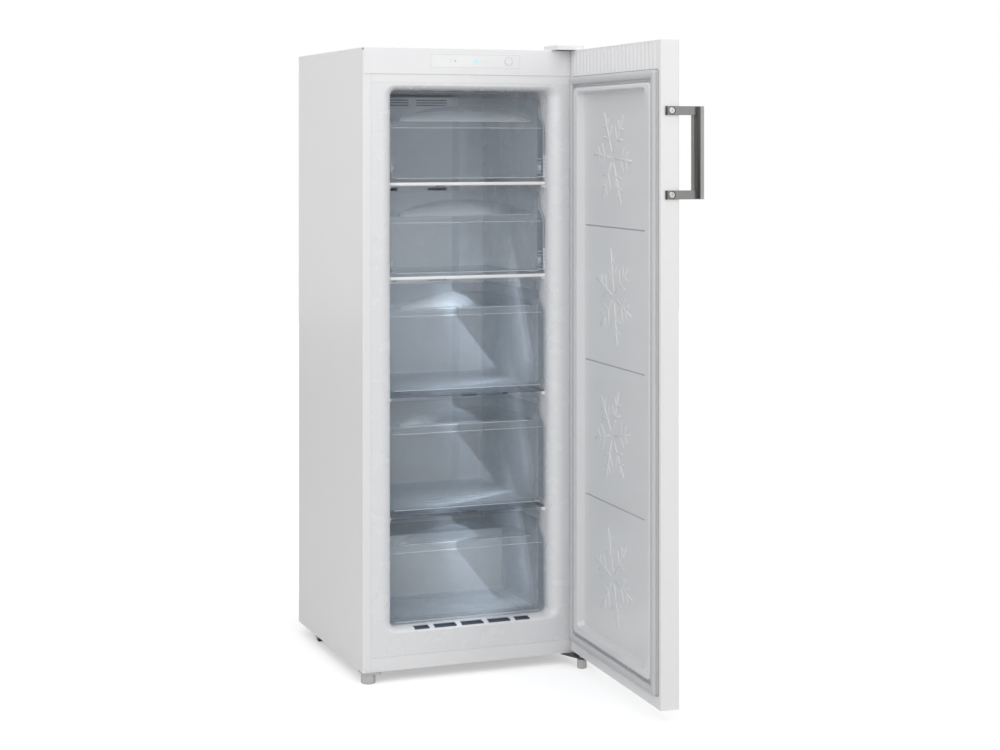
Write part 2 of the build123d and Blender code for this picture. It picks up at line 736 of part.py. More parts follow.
def scoop(top, wall):
    """The arched finger scoop: the upper half of a flattened ellipsoid."""
    size = (SCOOP_HALF_WIDTH + wall, SCOOP_DEPTH + wall, SCOOP_HEIGHT + wall)
    centre_y = FRONT_Y + SCOOP_INSET
    ball = Pos(0, centre_y, top - SCOOP_LEDGE) * scale(Sphere(1), by=size)
    reach = SCOOP_HALF_WIDTH + 10
    return ball & block((-reach, reach), (centre_y, centre_y + reach), (top - SCOOP_LEDGE - wall, top))


def front_shell(low, top, width):
    """A moulded front: side returns, a shoulder that rolls back and a finger scoop."""
    outer = front_solid(low, top, width, 0)
    behind = FRONT_Y + FRONT_SETBACK + FRONT_WALL / 2
    reach = SCOOP_HALF_WIDTH + 10
    rear = block((-reach, reach), (behind, behind + reach), (low, top))
    bowl = scoop(top, FRONT_WALL)
    shell = outer - front_solid(low, top, width, FRONT_WALL)
    return shell + (bowl & outer) + (bowl & rear) - scoop(top, 0)


def flap(low, top):
    """A bottom-hinged flap with a pivot boss and bore in each side return."""
    panel = front_shell(low, top, FLAP_WIDTH)
    edge = FLAP_WIDTH / 2
    inner = edge - FRONT_WALL
    z = low + PIVOT_ABOVE_EDGE
    boss = rod((inner - PIVOT_BOSS_LENGTH, PIVOT_Y, z), (inner, PIVOT_Y, z), PIVOT_BOSS_RADIUS)
    panel += twin(boss)
    bore = rod((-edge, PIVOT_Y, z), (edge, PIVOT_Y, z), PIVOT_RADIUS + RUNNING_CLEARANCE)
    return panel - bore


def flap_bracket(low):
    """One clear pivot bracket on the liner's right wall, with its pin."""
    z = low + PIVOT_ABOVE_EDGE
    inner = FLAP_WIDTH / 2 + BRACKET_GAP
    plate = block(
        (inner, INSIDE_HALF),
        (PIVOT_Y - BRACKET_DEPTH / 2, PIVOT_Y + BRACKET_DEPTH / 2),
        (low, low + BRACKET_HEIGHT),
    )
    plate = fillet(along(plate, Axis.X), BRACKET_DEPTH / 4)
    pin = rod((inner - PIVOT_LENGTH, PIVOT_Y, z), (inner, PIVOT_Y, z), PIVOT_RADIUS)
    return plate + pin


def flap_brackets():
    """The pivot brackets of both flaps, left and right."""
    brackets = []
    for low, _ in FLAPS.values():
        right = flap_bracket(low)
        brackets += [right, mirror(right, about=Plane.YZ)]
    return Compound(brackets)


def tub_body(floor, rim, back, shrink):
    """A tapered tub's outline solid, shrunk by a wall."""
    width = TUB_WIDTH - 2 * shrink
    front = FRONT_Y + FRONT_RETURN - TUB_CORNER * 2
    depth = back - shrink - front
    outline = RectangleRounded(width, depth, TUB_CORNER - shrink)
    plane = Plane(origin=(0, front + depth / 2, rim), x_dir=(1, 0, 0), z_dir=(0, 0, -1))
    return extrude(plane * outline, amount=rim - floor - shrink, taper=TUB_TAPER)


def drawer_tub(low, top, seat, step):
    """A clear tub behind a drawer front, with rim, ribbed floor and runners."""
    floor = seat + SEAT_GAP + RUNNER_HEIGHT
    rim = top - TUB_BELOW_FRONT
    tub = tub_body(floor, rim, TUB_BACK, 0)
    hollow = tub_body(floor, rim, TUB_BACK, TUB_WALL)
    if step:
        edge = HUMP_FRONT - STEP_GAP
        raised = HUMP_TOP + STEP_GAP
        half = (-HALF_WIDTH, HALF_WIDTH)
        tub -= block(half, (edge, CABINET_DEPTH), (0, raised))
        hollow -= block(half, (edge - TUB_WALL, CABINET_DEPTH), (0, raised + TUB_WALL))
    flange = RectangleRounded(TUB_WIDTH + 2 * TUB_RIM, TUB_BACK - FRONT_Y, TUB_CORNER)
    flange = Pos(0, (TUB_BACK + FRONT_Y) / 2, rim - TUB_WALL) * extrude(flange, amount=TUB_WALL)
    tub = tub + flange - hollow
    end = HUMP_FRONT - 4 * STEP_GAP if step else TUB_BACK - 3 * TUB_CORNER
    for i in range(RIB_COUNT):
        y = RUNNER_START + (end - RUNNER_START) * i / (RIB_COUNT - 1)
        half = RUNNER_SPAN / 2
        z = (floor + TUB_WALL, floor + TUB_WALL + RIB_HEIGHT)
        tub += block((-half, half), (y, y + RIB_WIDTH), z)
    x = (RUNNER_SPAN / 2, RUNNER_SPAN / 2 + RUNNER_WIDTH)
    tub += twin(block(x, (RUNNER_START, end), (floor - RUNNER_HEIGHT, floor)))
    wide = (-HALF_WIDTH, HALF_WIDTH)
    tub -= block(wide, (0, FRONT_Y + FRONT_SETBACK + FRONT_WALL), (0, CABINET_TOP))
    return tub - block(wide, (0, FRONT_Y + FRONT_RETURN), (0, low + FRONT_WALL))


# ---------------------------------------------------------------- cold air parts


def evaporator_cover():
    """The raised back cover with its louvres and vents."""
    front = INSIDE_BACK - COVER_DEPTH
    half, flat = COVER_WIDTH / 2, COVER_FLAT / 2
    z = (COVER_BOTTOM, COVER_TOP)
    outer = [(-half, INSIDE_BACK), (-flat, front), (flat, front), (half, INSIDE_BACK)]
    lean = COVER_WALL * 1.6
    deep = front + COVER_WALL
    inner = [
        (-half + lean * 1.4, INSIDE_BACK),
        (-flat + COVER_WALL / 2, deep),
        (flat - COVER_WALL / 2, deep),
        (half - lean * 1.4, INSIDE_BACK),
    ]
    cover = plan(outer, z) - plan(inner, (z[0] + COVER_WALL, z[1] - COVER_WALL))
    openings = []
    for row in range(LOUVRE_ROWS):
        middle = LOUVRE_TOP - row * LOUVRE_PITCH
        slot_z = (middle - LOUVRE_HEIGHT, middle)
        openings.append(block((LOUVRE_INNER, LOUVRE_OUTER), (front, deep), slot_z))
    for height in VENT_HEIGHTS:
        vent_z = (height - VENT_HEIGHT / 2, height + VENT_HEIGHT / 2)
        openings.append(block((VENT_INNER, VENT_OUTER), (front, deep), vent_z))
    for opening in openings:
        cover -= twin(opening)
    return cover


def evaporator():
    """The cooling coil: a finned block with return bends at both sides."""
    half = COIL_WIDTH / 2
    coil = block((-half, half), (COIL_FRONT, DUCT_BACK), (COIL_BOTTOM, COIL_TOP))
    pitch = COIL_WIDTH / FIN_GAPS
    for i in range(FIN_GAPS):
        x = -half + (i + 0.5) * pitch
        gap = (x - FIN_GAP_WIDTH / 2, x + FIN_GAP_WIDTH / 2)
        coil -= block(gap, (COIL_FRONT, (COIL_FRONT + DUCT_BACK) / 2), (COIL_BOTTOM, COIL_TOP))
    spacing = (COIL_TOP - COIL_BOTTOM) / COIL_PASSES
    middle_y = (COIL_FRONT + DUCT_BACK) / 2
    for i in range(COIL_PASSES - 1):
        z = COIL_BOTTOM + spacing * (i + 1)
        side = 1 if i % 2 else -1
        reach = side * (half + COIL_TUBE)
        bend = block(
            (min(side * half, reach), max(side * half, reach)),
            (middle_y - COIL_TUBE, middle_y + COIL_TUBE),
            (z - spacing / 2, z + spacing / 2),
        )
        coil += fillet(along(bend, Axis.Y), COIL_TUBE * 0.45)
    return coil


def fan_motor():
    """The small motor on the duct's back wall, with its shaft."""
    back_of_fan = FAN_FRONT + FAN_THICKNESS + MOTOR_GAP
    body = rod((0, back_of_fan, FAN_Z), (0, DUCT_BACK, FAN_Z), MOTOR_RADIUS)
    shaft = rod((0, FAN_FRONT - MOTOR_GAP, FAN_Z), (0, back_of_fan, FAN_Z), FAN_SHAFT)
    return body + shaft


def fan():
    """The axial fan: a bored hub and twisted blades."""
    hub = rod((0, FAN_FRONT, FAN_Z), (0, FAN_FRONT + FAN_THICKNESS, FAN_Z), FAN_HUB)
    middle = FAN_FRONT + FAN_THICKNESS / 2
    blade = Box(FAN_RADIUS - FAN_HUB + 2, 1.6, FAN_RADIUS * 0.62)
    blade = Pos((FAN_RADIUS + FAN_HUB - 2) / 2, 0, 0) * Rot(24, 0, 0) * blade
    wheel = hub
    for i in range(FAN_BLADES):
        wheel += Pos(0, middle, FAN_Z) * Rot(0, 360 / FAN_BLADES * i, 0) * blade
    bore = rod((0, FAN_FRONT - 5, FAN_Z), (0, FAN_FRONT + FAN_THICKNESS + 5, FAN_Z), FAN_SHAFT + RUNNING_CLEARANCE)
    return wheel - bore


# ---------------------------------------------------------------- machine space


def compressor():
    """The hermetic compressor: two domed shells, a welded seam and two foot bars."""
    low, top, radius = COMPRESSOR_BOTTOM, COMPRESSOR_TOP, COMPRESSOR_RADIUS
    turns = [math.radians(step) for step in (0, 30, 60, 90)]
    dome = [(DOME * (1 - math.cos(turn)), DOME * (1 - math.sin(turn))) for turn in turns]
    side = [(radius - inward, top - down) for inward, down in dome]
    foot_side = [(radius - inward, low + up) for inward, up in reversed(dome)]
    outline = make_face(Plane.XZ * Polyline((0, low), *foot_side, *side, (0, top), close=True))
    pot = Pos(COMPRESSOR_X, COMPRESSOR_Y, 0) * revolve(outline, axis=Axis.Z)
    middle = (COMPRESSOR_BOTTOM + COMPRESSOR_TOP) / 2
    seam_z = (middle - SEAM_HEIGHT / 2, middle + SEAM_HEIGHT / 2)
    pot += upright(COMPRESSOR_X, COMPRESSOR_Y, seam_z, COMPRESSOR_RADIUS + SEAM_WIDTH)
    for x, y in mount_places()[::2]:
        bar_x = (COMPRESSOR_X - FOOT_BAR_LENGTH / 2, COMPRESSOR_X + FOOT_BAR_LENGTH / 2)
        bar_y = (y - FOOT_BAR_WIDTH / 2, y + FOOT_BAR_WIDTH / 2)
        bar_z = (COMPRESSOR_BOTTOM - FOOT_BAR_SHEET, COMPRESSOR_BOTTOM)
        pot += block(bar_x, bar_y, bar_z)
    return pot


def mount_places():
    """The x and y of the four rubber mounts."""
    reach = FOOT_BAR_LENGTH / 2 - FOOT_BAR_WIDTH / 2
    spread = COMPRESSOR_RADIUS * 0.4
    return [(COMPRESSOR_X + a * reach, COMPRESSOR_Y + b * spread) for b in (-1, 1) for a in (-1, 1)]


def compressor_mounts():
    """Four waisted rubber mounts between the tray and the foot bars."""
    mounts = []
    floor = CABINET_BOTTOM + RAIL_SHEET + TRAY_SHEET
    roof = COMPRESSOR_BOTTOM - FOOT_BAR_SHEET
    for x, y in mount_places():
        mount = upright(x, y, (floor, roof), MOUNT_RADIUS)
        middle = (floor + roof) / 2
        groove = upright(x, y, (middle - 2, middle + 2), MOUNT_RADIUS)
        groove -= upright(x, y, (middle - 2, middle + 2), MOUNT_RADIUS * 0.75)
        mounts.append(mount - groove)
    return Compound(mounts)


def compressor_tray():
    """The cross plate between the rails, folded up front and back."""
    low = CABINET_BOTTOM + RAIL_SHEET
    half = (-TRAY_HALF_WIDTH, TRAY_HALF_WIDTH)
    tray = block(half, (TRAY_FRONT, TRAY_BACK), (low, low + TRAY_SHEET))
    for y in (TRAY_FRONT, TRAY_BACK - TRAY_SHEET):
        tray += block(half, (y, y + TRAY_SHEET), (low, low + TRAY_LIP))
    return tray


def drip_tray():
    """The open tray on top of the compressor that catches melt water."""
    low = COMPRESSOR_TOP + SEAT_GAP
    outline = RectangleRounded(DRIP_TRAY_LENGTH, DRIP_TRAY_DEPTH, 12)
    inner = RectangleRounded(DRIP_TRAY_LENGTH - 2 * DRIP_TRAY_WALL, DRIP_TRAY_DEPTH - 2 * DRIP_TRAY_WALL, 10)
    tray = extrude(outline, amount=DRIP_TRAY_HEIGHT)
    tray -= Pos(0, 0, DRIP_TRAY_WALL) * extrude(inner, amount=DRIP_TRAY_HEIGHT)
    return Pos(COMPRESSOR_X, COMPRESSOR_Y, low) * tray


def terminal_box():
    """The terminal cover on the compressor's side, with its empty cord gland."""
    x = COMPRESSOR_X + COMPRESSOR_RADIUS
    z = (TERMINAL_BOTTOM, TERMINAL_TOP)
    y = (COMPRESSOR_Y - TERMINAL_DEPTH / 2, COMPRESSOR_Y + TERMINAL_DEPTH / 2)
    box = block((x - TERMINAL_LENGTH / 2, x + TERMINAL_LENGTH), y, z)
    box = fillet(along(box, Axis.Z).sort_by(Axis.X)[-2:], 5)
    middle = (z[0] + z[1]) / 2
    gland_x = x + TERMINAL_LENGTH / 2
    box += rod((gland_x, y[1], middle), (gland_x, y[1] + GLAND_LENGTH, middle), GLAND_RADIUS)
    box -= rod((gland_x, y[1] - GLAND_LENGTH, middle), (gland_x, y[1] + GLAND_LENGTH, middle), GLAND_BORE)
    box -= upright(COMPRESSOR_X, COMPRESSOR_Y, z, COMPRESSOR_RADIUS + SEAM_WIDTH + SEAT_GAP)
    return box


def filter_drier():
    """The small copper drier that stands on its own pipes."""
    body = upright(DRIER_X, DRIER_Y, (DRIER_BOTTOM, DRIER_TOP), DRIER_RADIUS)
    return chamfer(body.faces().filter_by(Plane.XY).edges(), DRIER_RADIUS * 0.5)


def pipe(points):
    """A bent pipe through a few corner points."""
    path = FilletPolyline(*points, radius=PIPE_BEND)
    start = Plane(origin=path @ 0, z_dir=path % 0)
    return sweep(start * Circle(PIPE_RADIUS), path=path)


def refrigerant_pipes():
    """The suction, discharge and liquid pipes up into the foam."""
    roof = MACHINE_TOP - SEAT_GAP
    back = COMPRESSOR_Y + COMPRESSOR_RADIUS + SEAT_GAP
    lane = back + 18
    suction = [(COMPRESSOR_X, back, 140), (COMPRESSOR_X, lane, 140), (COMPRESSOR_X, lane, roof)]
    side = COMPRESSOR_X - COMPRESSOR_RADIUS - SEAT_GAP
    discharge = [(side, COMPRESSOR_Y, 90), (side - 34, COMPRESSOR_Y, 90), (side - 34, COMPRESSOR_Y, roof)]
    liquid = [
        (DRIER_X, DRIER_Y, DRIER_BOTTOM),
        (DRIER_X, DRIER_Y, DRIER_BOTTOM - 26),
        (DRIER_X + 40, DRIER_Y, DRIER_BOTTOM - 26),
        (DRIER_X + 40, DRIER_Y, roof),
    ]
    straight = upright(DRIER_X, DRIER_Y, (DRIER_TOP, roof), PIPE_RADIUS)
    return Compound([pipe(suction), pipe(discharge), pipe(liquid), straight])


# ---------------------------------------------------------------- base


def base_rail():
    """The right rail: a channel with a roller well, ears and a stud hole."""
    low, high = CABINET_BOTTOM, KICK_TOP
    y = (RAIL_FRONT, RAIL_BACK)
    rail = block((INNER_HALF - RAIL_SHEET, INNER_HALF), y, (low, high))
    rail += block((RAIL_INNER, INNER_HALF), y, (low, low + RAIL_SHEET))
    top_y = (RAIL_FRONT, MACHINE_FLOOR_END)
    rail += block((RAIL_INNER, INNER_HALF), top_y, (high - RAIL_SHEET, high))
    well_half = ROLLER_WIDTH / 2 + ROLLER_GAP
    well_y = ROLLER_RADIUS + ROLLER_WELL_GAP
    well = block(
        (ROLLER_X - well_half, ROLLER_X + well_half),
        (ROLLER_Y - well_y, ROLLER_Y + well_y),
        (low, low + RAIL_SHEET),
    )
    rail -= well
    for x in (ROLLER_X - well_half - EAR_THICKNESS, ROLLER_X + well_half):
        ear = block(
            (x, x + EAR_THICKNESS),
            (ROLLER_Y - EAR_LENGTH / 2, ROLLER_Y + EAR_LENGTH / 2),
            (ROLLER_RADIUS - 2 * AXLE_RADIUS, low + RAIL_SHEET),
        )
        rail += ear
    reach = well_half + 2 * EAR_THICKNESS
    rail -= rod(
        (ROLLER_X - reach, ROLLER_Y, ROLLER_RADIUS),
        (ROLLER_X + reach, ROLLER_Y, ROLLER_RADIUS),
        AXLE_RADIUS + RUNNING_CLEARANCE,
    )
    hole = upright(FOOT_X, FOOT_LEFT_Y, (low, low + RAIL_SHEET), STUD_RADIUS + FACE_GAP)
    return rail - hole


def roller():
    """The right rear roller with its bore and bevelled edges."""
    wheel = rod(
        (ROLLER_X - ROLLER_WIDTH / 2, ROLLER_Y, ROLLER_RADIUS),
        (ROLLER_X + ROLLER_WIDTH / 2, ROLLER_Y, ROLLER_RADIUS),
        ROLLER_RADIUS,
    )
    wheel = chamfer(wheel.edges().filter_by(GeomType.CIRCLE), 1.5)
    bore = rod(
        (ROLLER_X - ROLLER_WIDTH, ROLLER_Y, ROLLER_RADIUS),
        (ROLLER_X + ROLLER_WIDTH, ROLLER_Y, ROLLER_RADIUS),
        AXLE_RADIUS + RUNNING_CLEARANCE,
    )
    return wheel - bore


def roller_axles():
    """The two short axles of the rear rollers."""
    reach = ROLLER_WIDTH / 2 + ROLLER_GAP + EAR_THICKNESS + 1
    axle = rod(
        (ROLLER_X - reach, ROLLER_Y, ROLLER_RADIUS), (ROLLER_X + reach, ROLLER_Y, ROLLER_RADIUS), AXLE_RADIUS
    )
    return Compound([axle, mirror(axle, about=Plane.YZ)])


def foot(x, y, width, stud_top):
    """A faceted screw foot with its threaded stud."""
    pad = extrude(RegularPolygon(width / 2, FOOT_FACETS, major_radius=False), amount=FOOT_TOP)
    pad = chamfer(pad.faces().sort_by(Axis.Z)[0].edges(), 1.5)
    stud = Pos(0, 0, (FOOT_TOP + stud_top) / 2) * Cylinder(STUD_RADIUS, stud_top - FOOT_TOP)
    return Pos(x, y, 0) * Rot(0, 0, 180 / FOOT_FACETS) * (pad + stud)


def foot_bracket():
    """The plate under the left rail that the left foot screws into."""
    z = (CABINET_BOTTOM - FOOT_PLATE, CABINET_BOTTOM)
    plate = block((-HALF_WIDTH, RAIL_WIDTH - HALF_WIDTH), (RAIL_FRONT - 12, RAIL_FRONT + 40), z)
    plate = fillet(along(plate, Axis.Z), 8)
    return plate - upright(-FOOT_X, FOOT_LEFT_Y, z, STUD_RADIUS + RUNNING_CLEARANCE)


# ---------------------------------------------------------------- hinges


def lower_hinge_bracket():
    """The steel plate under the right corner with the door's lower pin."""
    z = (CABINET_BOTTOM - FOOT_PLATE, CABINET_BOTTOM)
    left = RAIL_INNER
    front = FOOT_RIGHT_Y - FOOT_RIGHT_WIDTH / 2
    points = [
        (left, 60),
        (left, 2),
        (FOOT_X - FOOT_RIGHT_WIDTH / 2, FOOT_RIGHT_Y + 4),
        (FOOT_X - FOOT_RIGHT_WIDTH / 2, front),
        (FOOT_X + FOOT_RIGHT_WIDTH / 2, front),
        (HALF_WIDTH - 1, HINGE_Y),
        (HALF_WIDTH - 1, 60),
    ]
    plate = plan(points, z)
    plate = fillet(along(plate, Axis.Z).sort_by(Axis.Y)[:2], FOOT_RIGHT_WIDTH / 3)
    plate -= upright(FOOT_X, FOOT_RIGHT_Y, z, STUD_RADIUS + RUNNING_CLEARANCE)
    for x, y in lower_screws():
        plate -= upright(x, y, z, HANDLE_SCREW_SHANK + SCREW_CLEARANCE)
    plate += upright(HINGE_X, HINGE_Y, (CABINET_BOTTOM, DOOR_BOTTOM - FACE_GAP), COLLAR_RADIUS)
    return plate + upright(HINGE_X, HINGE_Y, (z[0], DOOR_BOTTOM + BUSH_LENGTH - 2), HINGE_PIN)


def lower_screws():
    """The x and y of the screws that hold the lower hinge plate."""
    return [(RAIL_INNER + 9, 14), (RAIL_INNER + 9, 48), (HALF_WIDTH - 12, 48)]


def upper_screws():
    """The x and y of the screws that hold the upper hinge plate."""
    return [(COVER_LEFT + 12, 22), (COVER_LEFT + 35, 40), (COVER_RIGHT - 12, 22)]


def upper_hinge_bracket():
    """The steel plate on the top's right corner with the door's upper pin."""
    z = (CABINET_TOP, CABINET_TOP + HINGE_PLATE)
    margin = COVER_SHELL + 2.5
    points = [
        (COVER_LEFT + margin, COVER_REAR - margin),
        (COVER_LEFT + margin, 14),
        (HINGE_X - 9, COVER_FRONT + margin + 2),
        (COVER_RIGHT - margin, COVER_FRONT + margin + 2),
        (COVER_RIGHT - margin, COVER_REAR - margin),
    ]
    plate = plan(points, z)
    for x, y in upper_screws():
        plate -= upright(x, y, z, HANDLE_SCREW_SHANK + SCREW_CLEARANCE)
    return plate + upright(HINGE_X, HINGE_Y, (DOOR_TOP - BUSH_LENGTH + 2, z[1]), HINGE_PIN)


def hinge_cover():
    """The moulded cover over the upper hinge."""
    x, y = (COVER_LEFT, COVER_RIGHT), (COVER_FRONT, COVER_REAR)
    cover = block(x, y, (CABINET_TOP, CABINET_TOP + COVER_HEIGHT))
    cover = fillet(along(cover, Axis.Z), 6)
    cover = chamfer(cover.faces().sort_by(Axis.Z)[-1].edges(), 2.0)
    inner_x = (x[0] + COVER_SHELL, x[1] - COVER_SHELL)
    inner_y = (y[0] + COVER_SHELL, y[1] - COVER_SHELL)
    inner = block(inner_x, inner_y, (CABINET_TOP, CABINET_TOP + COVER_HEIGHT - COVER_SHELL))
    return cover - fillet(along(inner, Axis.Z), 6 - COVER_SHELL)


def hinge_screws():
    """The screws of both hinge plates."""
    screws = []
    for x, y in upper_screws():
        z = CABINET_TOP + HINGE_PLATE
        head = upright(x, y, (z, z + HINGE_SCREW_HEIGHT), HINGE_SCREW_HEAD)
        screws.append(head + upright(x, y, (CABINET_TOP, z), HANDLE_SCREW_SHANK))
    for x, y in lower_screws():
        z = CABINET_BOTTOM - FOOT_PLATE
        head = upright(x, y, (z - HINGE_SCREW_HEIGHT, z), HINGE_SCREW_HEAD)
        screws.append(head + upright(x, y, (z, CABINET_BOTTOM), HANDLE_SCREW_SHANK))
    return Compound(screws)


# ---------------------------------------------------------------- door, in its closed place


def bush_cut(radius):
    """The two hinge bush places in the door."""
    low = upright(HINGE_X, HINGE_Y, (DOOR_BOTTOM, DOOR_BOTTOM + BUSH_LENGTH), radius)
    high = upright(HINGE_X, HINGE_Y, (DOOR_TOP - BUSH_LENGTH, DOOR_TOP), radius)
    return low, high


def door_bushes():
    """The plastic bushes that turn on the hinge pins."""
    bore = HINGE_PIN + RUNNING_CLEARANCE
    low, high = bush_cut(BUSH_RADIUS)
    low_bore, high_bore = bush_cut(bore)
    return Compound([low - low_bore, high - high_bore])


def door_shell():
    """The door's folded outer sheet with its inner returns."""
    z = (SHELL_BOTTOM, SHELL_TOP)
    y = (DOOR_OUTER_Y, DOOR_INNER_Y)
    shell = block((-DOOR_HALF, DOOR_HALF), y, z)
    shell = fillet(along(shell, Axis.Z).sort_by(Axis.Y)[:2], DOOR_EDGE_RADIUS)
    inner = DOOR_HALF - SHEET
    hollow = block((-inner, inner), (DOOR_OUTER_Y + SHEET, DOOR_INNER_Y - SHEET), z)
    hollow = fillet(along(hollow, Axis.Z).sort_by(Axis.Y)[:2], DOOR_EDGE_RADIUS - SHEET)
    mouth_half = DOOR_HALF - DOOR_RETURN
    shell -= hollow
    shell -= block((-mouth_half, mouth_half), (DOOR_INNER_Y - SHEET, DOOR_INNER_Y), z)
    for screw_z in HANDLE_SCREWS_Z:
        shell -= handle_screw(screw_z, SCREW_CLEARANCE)
    return shell


def flutes():
    """The upright grooves of the door's top band."""
    count = int(2 * PANE_HALF / FLUTE_PITCH)
    surface = DOOR_INNER_Y
    grooves = []
    for i in range(count):
        x = (i - (count - 1) / 2) * FLUTE_PITCH
        points = [(x - FLUTE_WIDTH / 2, surface), (x, surface - FLUTE_DEPTH), (x + FLUTE_WIDTH / 2, surface)]
        grooves.append(plan(points, (BAND_BOTTOM + 3, DOOR_TOP - 3)))
    return grooves


def door_cap(z):
    """A plain end cap of the door between two heights."""
    cap = block((-DOOR_HALF, DOOR_HALF), (DOOR_OUTER_Y, DOOR_INNER_Y), z)
    return fillet(along(cap, Axis.Z).sort_by(Axis.Y)[:2], DOOR_EDGE_RADIUS)


def door_top_cap():
    """The top cap with the fluted band down its inner side."""
    cap = door_cap((SHELL_TOP, DOOR_TOP))
    band_y = (DOOR_INNER_Y - BAND_THICKNESS, DOOR_INNER_Y)
    cap += block((-PANE_HALF, PANE_HALF), band_y, (BAND_BOTTOM, SHELL_TOP))
    cap -= Compound(flutes())
    return cap - bush_cut(BUSH_RADIUS)[1]


def door_bottom_cap():
    """The bottom cap with a plain band up its inner side."""
    cap = door_cap((DOOR_BOTTOM, SHELL_BOTTOM))
    band_y = (DOOR_INNER_Y - LINER_WALL, DOOR_INNER_Y)
    cap += block((-PANE_HALF, PANE_HALF), band_y, (SHELL_BOTTOM, BOTTOM_BAND_TOP - FACE_GAP))
    return cap - bush_cut(BUSH_RADIUS)[0]


def ring_plane(low, high, y):
    """A plane across the door, centred between two heights."""
    return facing(y, (low + high) / 2)


def border_limits():
    """Half-width, bottom and top of the door liner's raised border."""
    inset = GASKET_WIDTH + BORDER_GAP
    return GASKET_HALF_WIDTH - inset, GASKET_BOTTOM + inset, GASKET_TOP - inset


def liner_form(wall):
    """The door liner's inner form, moved back by a wall: pane, border and recess."""
    half, low, high = border_limits()
    pane_y = DOOR_INNER_Y - wall
    deep = DOOR_OUTER_Y + SHEET
    form = block((-PANE_HALF, PANE_HALF), (deep, pane_y), (BOTTOM_BAND_TOP, BAND_BOTTOM - FACE_GAP))
    outline = RectangleRounded(2 * (half - wall), high - low - 2 * wall, BORDER_CORNER - wall)
    border = extrude(ring_plane(low, high, pane_y) * outline, amount=BORDER_PROUD, taper=BORDER_TAPER)
    form += border
    form = fillet(form.faces().sort_by(Axis.Y)[-1].edges(), LINER_ROUND - wall / 2)
    in_half = half - BORDER_WIDTH + wall
    in_low, in_high = low + BORDER_BOTTOM_WIDTH - wall, high - BORDER_TOP_WIDTH + wall
    cut = RectangleRounded(2 * in_half, in_high - in_low, BORDER_CORNER - 4)
    plane = Plane(
        origin=(0, pane_y + BORDER_PROUD, (in_low + in_high) / 2), x_dir=(1, 0, 0), z_dir=(0, -1, 0)
    )
    return form - extrude(plane * cut, amount=RECESS_DEPTH, taper=RECESS_TAPER)


def door_liner():
    """The formed inner panel of the door with its dividing grooves."""
    liner = liner_form(0) - liner_form(LINER_WALL)
    surface = DOOR_INNER_Y + BORDER_PROUD - RECESS_DEPTH
    half = border_limits()[0] - BORDER_WIDTH - GROOVE_END_GAP
    for z in DOOR_GROOVES:
        points = [(surface, z - GROOVE_WIDTH / 2), (surface - GROOVE_DEPTH, z), (surface, z + GROOVE_WIDTH / 2)]
        liner -= across(points, half)
    return liner


def door_foam():
    """The door's foam, between the outer sheet and the liner."""
    half = DOOR_HALF - SHEET
    start = DOOR_OUTER_Y + SHEET
    side = DOOR_INNER_Y - SHEET
    outer = block((-half, half), (start, side), (SHELL_BOTTOM, SHELL_TOP))
    outer = fillet(along(outer, Axis.Z).sort_by(Axis.Y)[:2], DOOR_EDGE_RADIUS - SHEET)
    middle_z = (BOTTOM_BAND_TOP, BAND_BOTTOM - FACE_GAP)
    pane = block((-PANE_HALF, PANE_HALF), (start, 0), middle_z)
    foam = outer - pane + liner_form(LINER_WALL)
    band_y = (DOOR_INNER_Y - BAND_THICKNESS, 0)
    foam -= block((-PANE_HALF, PANE_HALF), band_y, (BAND_BOTTOM - FACE_GAP, SHELL_TOP))
    band_y = (DOOR_INNER_Y - LINER_WALL, 0)
    foam -= block((-PANE_HALF, PANE_HALF), band_y, (SHELL_BOTTOM, BOTTOM_BAND_TOP))
    for cut in bush_cut(BUSH_RADIUS):
        foam -= cut
    for z in HANDLE_SCREWS_Z:
        foam -= handle_screw(z, SCREW_CLEARANCE)
    return foam


def door_gasket():
    """The soft magnetic seal, a closed ring round the door liner."""
    low, high = GASKET_BOTTOM, GASKET_TOP
    plane = ring_plane(low, high, DOOR_INNER_Y)
    outer = RectangleRounded(2 * GASKET_HALF_WIDTH, high - low, GASKET_CORNER)
    inner = RectangleRounded(
        2 * (GASKET_HALF_WIDTH - GASKET_WIDTH), high - low - 2 * GASKET_WIDTH, GASKET_CORNER / 2
    )
    ring = extrude(plane * (outer - inner), amount=GASKET_THICKNESS)
    return fillet(ring.faces().sort_by(Axis.Y)[-1].edges(), GASKET_ROUND)


# ---------------------------------------------------------------- handle, on the closed door


def handle_screw(z, grow=0.0):
    """One handle screw, driven into the door's free side."""
    face = -DOOR_HALF - HANDLE_BRACKET_THICKNESS
    y = DOOR_INNER_Y - HANDLE_SCREW_INSET
    head = rod((face - HANDLE_SCREW_HEIGHT, y, z), (face, y, z), HANDLE_SCREW_HEAD + grow)
    shank = rod((face, y, z), (face + HANDLE_SCREW_LENGTH + grow, y, z), HANDLE_SCREW_SHANK + grow)
    return head + shank


def handle_screws():
    """Both handle screws with their wide domed heads and cross slots."""
    screws = []
    for z in HANDLE_SCREWS_Z:
        screw = handle_screw(z)
        screw = chamfer(screw.faces().sort_by(Axis.X)[0].edges(), HANDLE_SCREW_HEIGHT * 0.6)
        face = -DOOR_HALF - HANDLE_BRACKET_THICKNESS - HANDLE_SCREW_HEIGHT
        y = DOOR_INNER_Y - HANDLE_SCREW_INSET
        slot = block((face, face + 1), (y - 3, y + 3), (z - 0.6, z + 0.6))
        slot += block((face, face + 1), (y - 0.6, y + 0.6), (z - 3, z + 3))
        screws.append(screw - slot)
    return Compound(screws)


